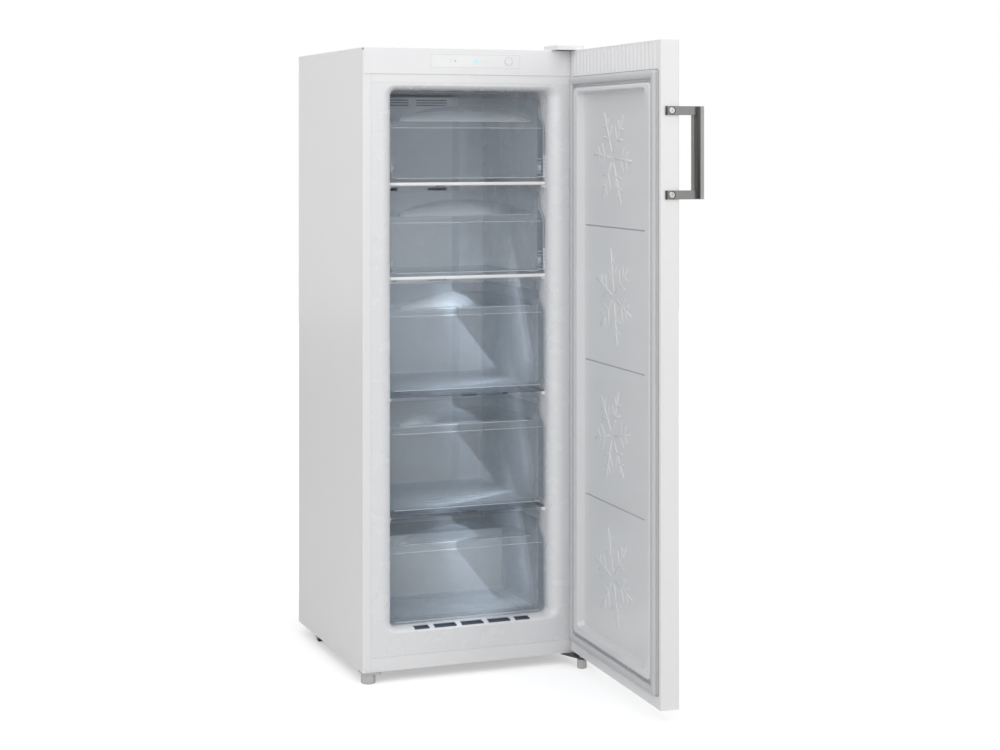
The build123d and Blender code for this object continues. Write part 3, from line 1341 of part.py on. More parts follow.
def handle_brackets():
    """The two flat straps from the door's side to the grip bar."""
    straps = []
    face = -DOOR_HALF
    for z in HANDLE_SCREWS_Z:
        strap = block(
            (face - HANDLE_BRACKET_THICKNESS, face),
            (DOOR_OUTER_Y - HANDLE_GAP - HANDLE_SEAT, DOOR_INNER_Y - HANDLE_BRACKET_INSET),
            (z - HANDLE_BRACKET_HEIGHT / 2, z + HANDLE_BRACKET_HEIGHT / 2),
        )
        strap = chamfer(along(strap, Axis.Y).sort_by(Axis.X)[:2], 0.6)
        straps.append(strap - handle_screw(z, SCREW_CLEARANCE))
    return Compound(straps)


def handle_bar():
    """The grip bar: a stepped, sloped section between the straps' ends."""
    x, y = -DOOR_HALF, DOOR_OUTER_Y - HANDLE_GAP
    step = HANDLE_BRACKET_THICKNESS
    points = [
        (x + HANDLE_BACK, y),
        (x, y),
        (x, y - HANDLE_SEAT),
        (x - step, y - HANDLE_SEAT),
        (x - HANDLE_RISE, y - HANDLE_SLOPE_END),
        (x - HANDLE_RISE, y - HANDLE_DEPTH),
        (x + HANDLE_BACK, y - HANDLE_DEPTH),
    ]
    z = (HANDLE_SCREWS_Z[0] - HANDLE_OVERHANG, HANDLE_SCREWS_Z[1] + HANDLE_OVERHANG)
    bar = plan(points, z)
    outer = along(bar, Axis.Z).sort_by(Axis.Y)[:3]
    return fillet(outer, HANDLE_ROUND)


# ---------------------------------------------------------------- assembly


def cabinet_parts():
    """Every piece that stays with the cabinet."""
    side, rail = side_panel(), base_rail()
    parts = {
        "side_panel_right": side,
        "side_panel_left": mirror(side, about=Plane.YZ),
        "top_panel": top_panel(),
        "back_panel": back_panel(),
        "back_panel_screws": back_panel_screws(),
        "base_shroud": base_shroud(),
        "base_rails": Compound([rail, mirror(rail, about=Plane.YZ)]),
        "kick_plate": kick_plate(),
        "cross_rail": cross_rail(),
        "inner_liner": inner_liner(),
        "insulation_foam": insulation_foam(),
        "control_housing": control_housing(),
        "display_window": display_window(),
        "display_board": display_board(),
        "evaporator_cover": evaporator_cover(),
        "evaporator": evaporator(),
        "fan_motor": fan_motor(),
        "flap_brackets": flap_brackets(),
    }
    for number, top in enumerate(SHELF_TOPS, start=1):
        parts[f"shelf_glass_{number}"] = shelf_glass(top)
    parts["shelf_trims"] = Compound([shelf_trim(top) for top in SHELF_TOPS[:TRIMMED_SHELVES]])
    return parts


def machine_parts():
    """The compressor, its tray and pipes, the hinges' fixed halves and the axles."""
    return {
        "compressor": compressor(),
        "compressor_mounts": compressor_mounts(),
        "compressor_tray": compressor_tray(),
        "drip_tray": drip_tray(),
        "terminal_box": terminal_box(),
        "filter_drier": filter_drier(),
        "refrigerant_pipes": refrigerant_pipes(),
        "roller_axles": roller_axles(),
        "foot_bracket": foot_bracket(),
        "lower_hinge_bracket": lower_hinge_bracket(),
        "upper_hinge_bracket": upper_hinge_bracket(),
        "hinge_cover": hinge_cover(),
        "hinge_screws": hinge_screws(),
    }


def moving_parts():
    """The small pieces that turn, slide or press."""
    right = roller()
    parts = {
        "fan": fan(),
        "control_button": control_button(),
        "roller_right": right,
        "roller_left": mirror(right, about=Plane.YZ),
        "foot_left": foot(-FOOT_X, FOOT_LEFT_Y, FOOT_LEFT_WIDTH, STUD_LEFT_TOP),
        "foot_right": foot(FOOT_X, FOOT_RIGHT_Y, FOOT_RIGHT_WIDTH, STUD_RIGHT_TOP),
    }
    for name, (low, top) in FLAPS.items():
        parts[name] = flap(low, top)
    seats = [*SHELF_TOPS[TRIMMED_SHELVES:], INSIDE_FLOOR]
    for (name, (low, top)), seat in zip(DRAWER_FRONTS.items(), seats):
        parts[f"{name}_front"] = front_shell(low, top, DRAWER_WIDTH)
        parts[f"{name}_tub"] = drawer_tub(low, top, seat, step=seat == INSIDE_FLOOR)
    return parts


def door_parts():
    """Every piece of the door, swung to where it stands open."""
    parts = {
        "door_shell": door_shell(),
        "door_top_cap": door_top_cap(),
        "door_bottom_cap": door_bottom_cap(),
        "door_foam": door_foam(),
        "door_liner": door_liner(),
        "door_gasket": door_gasket(),
        "door_bushes": door_bushes(),
        "handle_bar": handle_bar(),
        "handle_brackets": handle_brackets(),
        "handle_screws": handle_screws(),
    }
    swing = Pos(HINGE_X, HINGE_Y, 0) * Rot(0, 0, DOOR_OPEN_DEG) * Pos(-HINGE_X, -HINGE_Y, 0)
    return {name: swing * shape for name, shape in parts.items()}


os.makedirs("parts", exist_ok=True)
for group in (cabinet_parts, machine_parts, moving_parts, door_parts):
    for node, shape in group().items():
        export_step(shape, f"parts/{node}.step")
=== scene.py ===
"""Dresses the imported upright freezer: finishes, fittings, light and camera.

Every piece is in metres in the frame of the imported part: X to the right, Y to the back, Z up.
Door pieces are drawn on the closed door and swung open with it.
"""

from __future__ import annotations

import json
import logging
import math
from dataclasses import dataclass, field
from enum import Enum
from typing import Sequence

import bmesh
import bpy
from mathutils import Matrix, Vector

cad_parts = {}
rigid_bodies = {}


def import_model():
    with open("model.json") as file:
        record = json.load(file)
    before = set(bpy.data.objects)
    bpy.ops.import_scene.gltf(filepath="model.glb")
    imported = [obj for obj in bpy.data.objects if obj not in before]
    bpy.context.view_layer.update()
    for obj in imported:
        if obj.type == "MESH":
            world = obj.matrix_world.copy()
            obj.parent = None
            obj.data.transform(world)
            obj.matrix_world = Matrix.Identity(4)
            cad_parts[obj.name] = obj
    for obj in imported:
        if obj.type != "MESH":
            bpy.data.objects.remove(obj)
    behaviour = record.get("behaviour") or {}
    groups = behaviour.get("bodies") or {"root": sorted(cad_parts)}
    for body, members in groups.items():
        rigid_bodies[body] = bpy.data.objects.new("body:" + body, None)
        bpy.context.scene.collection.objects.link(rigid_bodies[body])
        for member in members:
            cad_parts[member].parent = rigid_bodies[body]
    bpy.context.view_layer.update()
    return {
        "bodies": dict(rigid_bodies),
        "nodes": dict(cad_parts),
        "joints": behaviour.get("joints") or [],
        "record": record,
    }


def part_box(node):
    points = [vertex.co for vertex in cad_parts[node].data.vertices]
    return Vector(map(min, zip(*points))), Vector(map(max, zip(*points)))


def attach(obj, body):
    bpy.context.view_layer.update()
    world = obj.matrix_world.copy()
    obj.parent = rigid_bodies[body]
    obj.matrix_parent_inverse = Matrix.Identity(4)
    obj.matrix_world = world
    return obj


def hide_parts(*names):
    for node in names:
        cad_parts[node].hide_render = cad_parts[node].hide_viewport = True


MM = 0.001
DOOR_PIVOT = Vector((0.255, -0.023, 0.0))
DOOR_OPEN = math.radians(87.0)
DOOR_INNER_Y = -12.0
FLAP_PIVOTS = (1177.0, 956.5)
BARE_SHELVES = (648.0, 372.0)

log = logging.getLogger("freezer")

Colour = tuple[float, float, float]
Point = tuple[float, float, float]
Flat = tuple[float, float]


class Body(Enum):
    """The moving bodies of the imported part."""

    CABINET = "cabinet"
    DOOR = "door"
    FLAP_1 = "flap_1"
    FLAP_2 = "flap_2"
    DRAWER_3 = "drawer_3"
    DRAWER_4 = "drawer_4"
    DRAWER_5 = "drawer_5"
    FOOT_LEFT = "foot_left"
    FOOT_RIGHT = "foot_right"
    ROLLER_LEFT = "roller_left"
    ROLLER_RIGHT = "roller_right"
    FAN = "fan"
    BUTTON = "control_button"


class Axis(Enum):
    """The three axes of the part's frame."""

    X = 0
    Y = 1
    Z = 2


# ------------------------------------------------------------------ node graphs


class Graph:
    """A small wrapper that adds and links the nodes of one tree."""

    def __init__(self, tree: bpy.types.NodeTree) -> None:
        """Keep the tree that the nodes go into.

        Args:
            tree: The shader or geometry node tree.
        """
        self.tree = tree

    def add(self, kind: str, **settings: object) -> bpy.types.Node:
        """Add one node.

        Args:
            kind: Blender's node type name.
            settings: Properties of the node, and input values under their socket names.

        Returns:
            The new node.
        """
        node = self.tree.nodes.new(kind)
        for name, value in settings.items():
            if hasattr(node, name):
                setattr(node, name, value)
            else:
                node.inputs[name.replace("_", " ")].default_value = value
        return node

    def link(self, source: bpy.types.NodeSocket, target: bpy.types.NodeSocket) -> None:
        """Join an output to an input."""
        self.tree.links.new(source, target)


class ShaderGroups:
    """The node groups that several finishes share, each built once."""

    def __init__(self) -> None:
        """Build the groups."""
        self.mottle = self._mottle()
        self.grain = self._grain()
        self.streaks = self._streaks()
        self.dust = self._dust()

    @staticmethod
    def _start(
        name: str, inputs: Sequence[tuple[str, str, object]], outputs: Sequence[tuple[str, str]]
    ) -> Graph:
        """Make a group with its sockets.

        Args:
            name: Name of the group.
            inputs: Socket names, socket types and starting values.
            outputs: Socket names and socket types.

        Returns:
            The graph of the new group.
        """
        tree = bpy.data.node_groups.new(name, "ShaderNodeTree")
        for label, kind, value in inputs:
            socket = tree.interface.new_socket(label, in_out="INPUT", socket_type=kind)
            socket.default_value = value
        for label, kind in outputs:
            tree.interface.new_socket(label, in_out="OUTPUT", socket_type=kind)
        return Graph(tree)

    def _mottle(self) -> bpy.types.NodeTree:
        """A slow change between two near colours."""
        graph = self._start(
            "slow_mottle",
            [
                ("Colour", "NodeSocketColor", (0.8, 0.8, 0.8, 1.0)),
                ("Second Colour", "NodeSocketColor", (0.75, 0.75, 0.75, 1.0)),
                ("Scale", "NodeSocketFloat", 6.0),
                ("Amount", "NodeSocketFloat", 0.5),
            ],
            [("Colour", "NodeSocketColor")],
        )
        ins = graph.add("NodeGroupInput")
        outs = graph.add("NodeGroupOutput")
        place = graph.add("ShaderNodeTexCoord")
        noise = graph.add("ShaderNodeTexNoise", Detail=3.0, Roughness=0.55)
        amount = graph.add("ShaderNodeMath", operation="MULTIPLY")
        mix = graph.add("ShaderNodeMix", data_type="RGBA")
        graph.link(place.outputs["Object"], noise.inputs["Vector"])
        graph.link(ins.outputs["Scale"], noise.inputs["Scale"])
        graph.link(noise.outputs["Fac"], amount.inputs[0])
        graph.link(ins.outputs["Amount"], amount.inputs[1])
        graph.link(amount.outputs[0], mix.inputs[0])
        graph.link(ins.outputs["Colour"], mix.inputs[6])
        graph.link(ins.outputs["Second Colour"], mix.inputs[7])
        graph.link(mix.outputs[2], outs.inputs[0])
        return graph.tree

    def _grain(self) -> bpy.types.NodeTree:
        """A fine even grain, as on moulded or sprayed surfaces."""
        graph = self._start(
            "fine_grain",
            [
                ("Scale", "NodeSocketFloat", 900.0),
                ("Roughness Low", "NodeSocketFloat", 0.3),
                ("Roughness High", "NodeSocketFloat", 0.4),
            ],
            [("Height", "NodeSocketFloat"), ("Roughness", "NodeSocketFloat")],
        )
        ins = graph.add("NodeGroupInput")
        outs = graph.add("NodeGroupOutput")
        place = graph.add("ShaderNodeTexCoord")
        fine = graph.add("ShaderNodeTexNoise", Detail=2.0, Roughness=0.5)
        slow = graph.add("ShaderNodeTexNoise", Scale=14.0, Detail=4.0, Roughness=0.6)
        span = graph.add("ShaderNodeMapRange")
        graph.link(place.outputs["Object"], fine.inputs["Vector"])
        graph.link(place.outputs["Object"], slow.inputs["Vector"])
        graph.link(ins.outputs["Scale"], fine.inputs["Scale"])
        graph.link(slow.outputs["Fac"], span.inputs["Value"])
        graph.link(ins.outputs["Roughness Low"], span.inputs["To Min"])
        graph.link(ins.outputs["Roughness High"], span.inputs["To Max"])
        graph.link(fine.outputs["Fac"], outs.inputs[0])
        graph.link(span.outputs["Result"], outs.inputs[1])
        return graph.tree

    def _streaks(self) -> bpy.types.NodeTree:
        """Long fine lines along one axis, as rolled or brushed metal has."""
        graph = self._start(
            "drawn_streaks",
            [
                ("Stretch", "NodeSocketVector", (900.0, 900.0, 12.0)),
                ("Roughness Low", "NodeSocketFloat", 0.25),
                ("Roughness High", "NodeSocketFloat", 0.4),
            ],
            [("Height", "NodeSocketFloat"), ("Roughness", "NodeSocketFloat")],
        )
        ins = graph.add("NodeGroupInput")
        outs = graph.add("NodeGroupOutput")
        place = graph.add("ShaderNodeTexCoord")
        stretch = graph.add("ShaderNodeVectorMath", operation="MULTIPLY")
        noise = graph.add("ShaderNodeTexNoise", Scale=1.0, Detail=3.0, Roughness=0.6)
        span = graph.add("ShaderNodeMapRange")
        graph.link(place.outputs["Object"], stretch.inputs[0])
        graph.link(ins.outputs["Stretch"], stretch.inputs[1])
        graph.link(stretch.outputs[0], noise.inputs["Vector"])
        graph.link(noise.outputs["Fac"], span.inputs["Value"])
        graph.link(ins.outputs["Roughness Low"], span.inputs["To Min"])
        graph.link(ins.outputs["Roughness High"], span.inputs["To Max"])
        graph.link(noise.outputs["Fac"], outs.inputs[0])
        graph.link(span.outputs["Result"], outs.inputs[1])
        return graph.tree

    def _dust(self) -> bpy.types.NodeTree:
        """A little dust on faces that look up."""
        graph = self._start(
            "settled_dust",
            [
                ("Colour", "NodeSocketColor", (0.8, 0.8, 0.8, 1.0)),
                ("Dust Colour", "NodeSocketColor", (0.6, 0.58, 0.55, 1.0)),
                ("Amount", "NodeSocketFloat", 0.2),
            ],
            [("Colour", "NodeSocketColor")],
        )
        ins = graph.add("NodeGroupInput")
        outs = graph.add("NodeGroupOutput")
        place = graph.add("ShaderNodeTexCoord")
        noise = graph.add("ShaderNodeTexNoise", Scale=30.0, Detail=5.0, Roughness=0.65)
        normal = graph.add("ShaderNodeNewGeometry")
        parts = graph.add("ShaderNodeSeparateXYZ")
        up = graph.add("ShaderNodeMath", operation="MAXIMUM")
        patch = graph.add("ShaderNodeMath", operation="MULTIPLY")
        amount = graph.add("ShaderNodeMath", operation="MULTIPLY")
        mix = graph.add("ShaderNodeMix", data_type="RGBA")
        up.inputs[1].default_value = 0.0
        graph.link(place.outputs["Object"], noise.inputs["Vector"])
        graph.link(normal.outputs["Normal"], parts.inputs[0])
        graph.link(parts.outputs["Z"], up.inputs[0])
        graph.link(up.outputs[0], patch.inputs[0])
        graph.link(noise.outputs["Fac"], patch.inputs[1])
        graph.link(patch.outputs[0], amount.inputs[0])
        graph.link(ins.outputs["Amount"], amount.inputs[1])
        graph.link(amount.outputs[0], mix.inputs[0])
        graph.link(ins.outputs["Colour"], mix.inputs[6])
        graph.link(ins.outputs["Dust Colour"], mix.inputs[7])
        graph.link(mix.outputs[2], outs.inputs[0])
        return graph.tree


# ------------------------------------------------------------------ finishes


def begin_material(
    name: str, colour: Colour, second: Colour, opacity: float, groups: ShaderGroups
) -> tuple[bpy.types.Material, Graph, bpy.types.Node, bpy.types.Node]:
    """Start a material whose colour mottles slowly.

    Args:
        name: Name of the material.
        colour: Main colour.
        second: Colour that the mottle leans to.
        opacity: Opacity in the plain viewport.
        groups: The shared shader groups.

    Returns:
        The material, its graph, its shader and the mottle's node.
    """
    made = bpy.data.materials.new(name)
    made.use_nodes = True
    made.diffuse_color = (*colour, opacity)
    graph = Graph(made.node_tree)
    mottle = graph.add("ShaderNodeGroup", node_tree=groups.mottle)
    mottle.inputs["Colour"].default_value = (*colour, 1.0)
    mottle.inputs["Second Colour"].default_value = (*second, 1.0)
    return made, graph, made.node_tree.nodes["Principled BSDF"], mottle


def dimmed(colour: Colour, share: float) -> Colour:
    """A colour at a share of its brightness."""
    red, green, blue = colour
    return (red * share, green * share, blue * share)


@dataclass(frozen=True)
class Finish:
    """A solid finish: mottled colour, grained gloss and a fine bump.

    Attributes:
        name: Name of the material.
        colour: Main colour.
        second: Colour that the slow mottle leans to.
        gloss: Lowest and highest roughness.
        grain: Scale of the fine grain, in lines per metre.
        bump: Depth of the grain in millimetres.
        metal: How metallic the surface is.
        coat: Weight of the clear coat.
        stretch: Stretch of the streaks, for rolled or brushed metal.
        dust: Share of dust on faces that look up.
    """

    name: str
    colour: Colour
    second: Colour
    gloss: Flat = (0.35, 0.45)
    grain: float = 900.0
    bump: float = 0.03
    metal: float = 0.0
    coat: float = 0.0
    stretch: Point | None = None
    dust: float = 0.0

    def material(self, groups: ShaderGroups) -> bpy.types.Material:
        """Build the material.

        Args:
            groups: The shared shader groups.

        Returns:
            The finished material.
        """
        made, graph, shader, mottle = begin_material(self.name, self.colour, self.second, 1.0, groups)
        shader.inputs["Metallic"].default_value = self.metal
        shader.inputs["Coat Weight"].default_value = self.coat
        shader.inputs["Coat Roughness"].default_value = 0.08
        mottle.inputs["Scale"].default_value = 5.0
        mottle.inputs["Amount"].default_value = 0.9
        tone = mottle.outputs[0]
        if self.dust > 0:
            dust = graph.add("ShaderNodeGroup", node_tree=groups.dust)
            dust.inputs["Amount"].default_value = self.dust
            graph.link(tone, dust.inputs["Colour"])
            tone = dust.outputs[0]
        graph.link(tone, shader.inputs["Base Color"])
        if self.stretch:
            texture = graph.add("ShaderNodeGroup", node_tree=groups.streaks)
            texture.inputs["Stretch"].default_value = self.stretch
        else:
            texture = graph.add("ShaderNodeGroup", node_tree=groups.grain)
            texture.inputs["Scale"].default_value = self.grain
        texture.inputs["Roughness Low"].default_value = self.gloss[0]
        texture.inputs["Roughness High"].default_value = self.gloss[1]
        graph.link(texture.outputs["Roughness"], shader.inputs["Roughness"])
        bump = graph.add("ShaderNodeBump", Strength=0.6, Distance=self.bump * MM)
        graph.link(texture.outputs["Height"], bump.inputs["Height"])
        graph.link(bump.outputs[0], shader.inputs["Normal"])
        return made


@dataclass(frozen=True)
class ClearFinish:
    """A see-through moulding that turns milkier where it is seen edge on.

    Attributes:
        name: Name of the material.
        colour: Tint of the body.
        faint: Opacity face on.
        dense: Opacity edge on.
        rough: Roughness.
        blend: How early the edge effect starts.
    """

    name: str
    colour: Colour
    faint: float
    dense: float
    rough: float = 0.08
    blend: float = 0.35

    def material(self, groups: ShaderGroups) -> bpy.types.Material:
        """Build the material.

        Args:
            groups: The shared shader groups.

        Returns:
            The finished material.
        """
        second = dimmed(self.colour, 0.94)
        made, graph, shader, mottle = begin_material(self.name, self.colour, second, self.faint, groups)
        shader.inputs["Roughness"].default_value = self.rough
        shader.inputs["IOR"].default_value = 1.49
        mottle.inputs["Amount"].default_value = 0.8
        graph.link(mottle.outputs[0], shader.inputs["Base Color"])
        facing = graph.add("ShaderNodeLayerWeight", Blend=self.blend)
        span = graph.add("ShaderNodeMapRange")
        span.inputs["To Min"].default_value = self.faint
        span.inputs["To Max"].default_value = self.dense
        graph.link(facing.outputs["Facing"], span.inputs["Value"])
        graph.link(span.outputs["Result"], shader.inputs["Alpha"])
        grain = graph.add("ShaderNodeGroup", node_tree=groups.grain)
        grain.inputs["Scale"].default_value = 60.0
        bump = graph.add("ShaderNodeBump", Strength=0.25, Distance=0.05 * MM)
        graph.link(grain.outputs["Height"], bump.inputs["Height"])
        graph.link(bump.outputs[0], shader.inputs["Normal"])
        return made


@dataclass(frozen=True)
class FadeFinish:
    """A painted sheen: a bright reflection painted on a clear moulding, fading with the mesh's "fade"
    attribute.

    Attributes:
        name: Name of the material.
        colour: Colour of the sheen.
        dense: Opacity where the attribute is 1.
    """

    name: str
    colour: Colour
    dense: float

    def material(self, groups: ShaderGroups) -> bpy.types.Material:
        """Build the material.

        Args:
            groups: The shared shader groups.

        Returns:
            The finished material.
        """
        second = dimmed(self.colour, 0.92)
        made, graph, shader, mottle = begin_material(self.name, self.colour, second, 0.3, groups)
        shader.inputs["Roughness"].default_value = 0.16
        graph.link(mottle.outputs[0], shader.inputs["Base Color"])
        fade = graph.add("ShaderNodeAttribute", attribute_name="fade")
        amount = graph.add("ShaderNodeMath", operation="MULTIPLY")
        amount.inputs[1].default_value = self.dense
        graph.link(fade.outputs["Fac"], amount.inputs[0])
        graph.link(amount.outputs[0], shader.inputs["Alpha"])
        return made


@dataclass(frozen=True)
class GlowFinish:
    """A lit display segment.

    Attributes:
        name: Name of the material.
        colour: Colour of the light.
        strength: Strength of the glow.
    """

    name: str
    colour: Colour
    strength: float

    def material(self, groups: ShaderGroups) -> bpy.types.Material:
        """Build the material.

        Args:
            groups: The shared shader groups.

        Returns:
            The finished material.
        """
        second = dimmed(self.colour, 0.9)
        made, graph, shader, mottle = begin_material(self.name, self.colour, second, 1.0, groups)
        graph.link(mottle.outputs[0], shader.inputs["Base Color"])
        graph.link(mottle.outputs[0], shader.inputs["Emission Color"])
        shader.inputs["Emission Strength"].default_value = self.strength
        shader.inputs["Roughness"].default_value = 0.3
        return made


class Paint(Enum):
    """Every finish on the freezer."""

    WHITE_SHEET = Finish(
        "white_sheet", (0.83, 0.83, 0.835), (0.81, 0.81, 0.815), (0.28, 0.36), 2600.0, 0.02, coat=0.15
    )
    WHITE_MOULDING = Finish(
        "white_moulding", (0.84, 0.84, 0.85), (0.82, 0.82, 0.83), (0.3, 0.4), 1500.0, 0.02
    )
    WHITE_LINER = Finish(
        "white_liner", (0.80, 0.805, 0.82), (0.785, 0.79, 0.805), (0.22, 0.32), 700.0, 0.02
    )
    DOOR_LINER = Finish(
        "door_liner_white", (0.74, 0.745, 0.75), (0.72, 0.725, 0.735), (0.2, 0.3), 700.0, 0.02
    )
    LENS = Finish("display_lens", (0.85, 0.855, 0.86), (0.84, 0.845, 0.85), (0.12, 0.18), 400.0, 0.01)
    # Grey for printed marks, and painted shade in the door's gaps and grooves and the fascia's end grooves.
    SHADE_LINE = Finish("shade_line", (0.42, 0.42, 0.43), (0.36, 0.36, 0.37), (0.5, 0.6))
    PALE_LINE = Finish("pale_line", (0.66, 0.66, 0.67), (0.62, 0.62, 0.63), (0.4, 0.5))
    TRIM = Finish(
        "shelf_trim_white", (0.86, 0.87, 0.89), (0.84, 0.85, 0.87), (0.1, 0.16), 300.0, 0.01, coat=0.4
    )
    ZINC = Finish(
        "zinc_sheet", (0.56, 0.57, 0.58), (0.46, 0.47, 0.49), (0.34, 0.5), 60.0, 0.05, metal=0.85, dust=0.35
    )
    BACK_SHEET = Finish(
        "back_sheet", (0.66, 0.665, 0.67), (0.6, 0.605, 0.61), (0.34, 0.46),
        metal=0.5, stretch=(700.0, 700.0, 9.0),
    )
    DARK_STEEL = Finish(
        "dark_steel", (0.09, 0.09, 0.1), (0.13, 0.13, 0.14), (0.4, 0.55), 1200.0, 0.04, metal=0.4
    )
    COMPRESSOR_BLACK = Finish(
        "compressor_black", (0.02, 0.02, 0.022), (0.035, 0.035, 0.038), (0.25, 0.4), 1600.0, 0.04,
        coat=0.3, dust=0.5,
    )
    DARK_MOULDING = Finish(
        "dark_moulding", (0.03, 0.03, 0.033), (0.05, 0.05, 0.052), (0.5, 0.65), 1600.0, 0.05, dust=0.3
    )
    FOOT_MOULDING = Finish(
        "foot_moulding", (0.56, 0.56, 0.53), (0.5, 0.5, 0.47), (0.45, 0.6), 1300.0, 0.05, dust=0.2
    )
    DRIP_MOULDING = Finish(
        "drip_moulding", (0.1, 0.1, 0.11), (0.14, 0.14, 0.15), (0.45, 0.6), 1300.0, 0.05, dust=0.5
    )
    SEAL = Finish("seal_grey", (0.6, 0.605, 0.62), (0.56, 0.565, 0.58), (0.5, 0.62), 1800.0, 0.04)
    BLACK_RUBBER = Finish(
        "black_rubber", (0.02, 0.02, 0.02), (0.035, 0.035, 0.035), (0.7, 0.85), 1500.0, 0.06
    )
    HANDLE = Finish(
        "handle_grey", (0.33, 0.33, 0.325), (0.28, 0.28, 0.275), (0.3, 0.42),
        metal=0.75, stretch=(1400.0, 1400.0, 16.0),
    )
    HANDLE_DARK = Finish(
        "handle_dark", (0.035, 0.035, 0.033), (0.06, 0.06, 0.056), (0.28, 0.4),
        metal=0.6, stretch=(1400.0, 1400.0, 16.0),
    )
    STRAP = Finish(
        "strap_grey", (0.25, 0.25, 0.245), (0.2, 0.2, 0.195), (0.34, 0.46),
        metal=0.7, stretch=(16.0, 1400.0, 1400.0),
    )
    BRIGHT = Finish(
        "bright_steel", (0.5, 0.5, 0.49), (0.36, 0.36, 0.35), (0.16, 0.3),
        metal=1.0, stretch=(900.0, 900.0, 900.0),
    )
    ALUMINIUM = Finish(
        "fin_aluminium", (0.72, 0.73, 0.74), (0.64, 0.65, 0.66), (0.3, 0.42),
        metal=0.9, stretch=(30.0, 900.0, 900.0),
    )
    COPPER = Finish(
        "copper_pipe", (0.62, 0.3, 0.17), (0.46, 0.22, 0.14), (0.26, 0.44), 400.0, 0.03, metal=1.0
    )
    FOAM = Finish("rigid_foam", (0.78, 0.7, 0.42), (0.7, 0.6, 0.34), (0.85, 0.95), 260.0, 0.6)
    BOARD = Finish("printed_board", (0.03, 0.16, 0.08), (0.05, 0.22, 0.12), (0.3, 0.45), 900.0, 0.03)
    CLEAR_FLAP = ClearFinish("clear_flap", (0.34, 0.42, 0.5), 0.16, 0.62, 0.06, 0.3)
    CLEAR_FRONT = ClearFinish("clear_front", (0.5, 0.58, 0.66), 0.07, 0.6, 0.06, 0.3)
    CLEAR_TUB = ClearFinish("clear_tub", (0.66, 0.73, 0.8), 0.08, 0.6, 0.14, 0.35)
    # A painted reflection on the walls of the scoops.
    GLAZE = FadeFinish("scoop_glaze", (0.78, 0.83, 0.88), 0.62)
    # Bright near-opaque strips: painted glints on the edges of the clear fronts and brackets.
    CLEAR_EDGE = ClearFinish("clear_edge", (0.84, 0.88, 0.93), 0.5, 0.9, 0.06, 0.5)
    # Near white and nearly opaque: painted light standing in for the light the clear brackets catch.
    CLEAR_BRACKET = ClearFinish("clear_bracket", (0.94, 0.96, 1.0), 0.85, 1.0, 0.08, 0.5)
    SHELF_GLASS = ClearFinish("shelf_glass", (0.34, 0.4, 0.47), 0.12, 0.7, 0.02, 0.25)
    GLASS_EDGE = Finish("glass_edge", (0.07, 0.1, 0.13), (0.11, 0.15, 0.19), (0.1, 0.2), 300.0, 0.01)
    # Dark navy: painted shade inside the air slots and behind the louvres.
    SLOT_SHADE = Finish("slot_shade", (0.06, 0.08, 0.12), (0.1, 0.12, 0.17), (0.4, 0.5), 700.0, 0.02)
    DIGIT_GLOW = GlowFinish("digit_teal", (0.03, 0.62, 0.6), 0.7)


class Workshop:
    """Holds the shared groups and the materials, each built when first asked for."""

    def __init__(self, frame: dict) -> None:
        """Start with no materials.
        """
        self.frame = frame
        self.groups = ShaderGroups()
        self.made: dict[Paint, bpy.types.Material] = {}

    def material(self, paint: Paint) -> bpy.types.Material:
        """The material of a finish."""
        if paint not in self.made:
            self.made[paint] = paint.value.material(self.groups)
        return self.made[paint]

    def dress(self, paint: Paint, *nodes: str) -> None:
        """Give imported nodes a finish.

        Args:
            paint: The finish.
            nodes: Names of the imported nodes.
        """
        material = self.material(paint)
        for name in nodes:
            mesh = self.frame["nodes"][name].data
            if not mesh.materials:
                mesh.materials.append(material)
            for index in range(len(mesh.materials)):
                mesh.materials[index] = material
        log.info("%s on %s", paint.value.name, ", ".join(nodes))

    def place(self, mesh: bpy.types.Mesh, name: str, body: Body, slot: str) -> bpy.types.Object:
        """Put a finished mesh on a body.

        Args:
            mesh: The mesh, in metres in the part's frame.
            name: Name of the piece.
            body: The body that it moves with.
            slot: The record's material slot; not used.

        Returns:
            The piece.
        """
        piece = bpy.data.objects.new(name, mesh)
        bpy.context.scene.collection.objects.link(piece)
        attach(piece, body.value)
        log.info("piece %s on %s, %d faces", name, body.value, len(mesh.polygons))
        return piece


# ------------------------------------------------------------------ mesh making


def swing_door(mesh: bpy.types.Mesh) -> bpy.types.Mesh:
    """Turn a mesh drawn on the closed door to where the door stands open."""
    move = Matrix.Translation(DOOR_PIVOT)
    mesh.transform(move @ Matrix.Rotation(DOOR_OPEN, 4, "Z") @ move.inverted())
    return mesh


def finished(
    work: bmesh.types.BMesh, name: str, material: bpy.types.Material, sharp: float = 35.0
) -> bpy.types.Mesh:
    """Clean a bmesh given in millimetres and turn it into a mesh in metres.

    Args:
        work: The bmesh, freed here.
        name: Name of the mesh.
        material: Its finish.
        sharp: Angle in degrees past which an edge stays sharp.

    Returns:
        The mesh.
    """
    bmesh.ops.remove_doubles(work, verts=work.verts, dist=0.001)
    bmesh.ops.recalc_face_normals(work, faces=work.faces)
    bmesh.ops.scale(work, vec=(MM, MM, MM), verts=work.verts)
    mesh = bpy.data.meshes.new(name)
    work.to_mesh(mesh)
    work.free()
    mesh.materials.append(material)
    mesh.shade_smooth()
    mesh.set_sharp_from_angle(angle=math.radians(sharp))
    return mesh


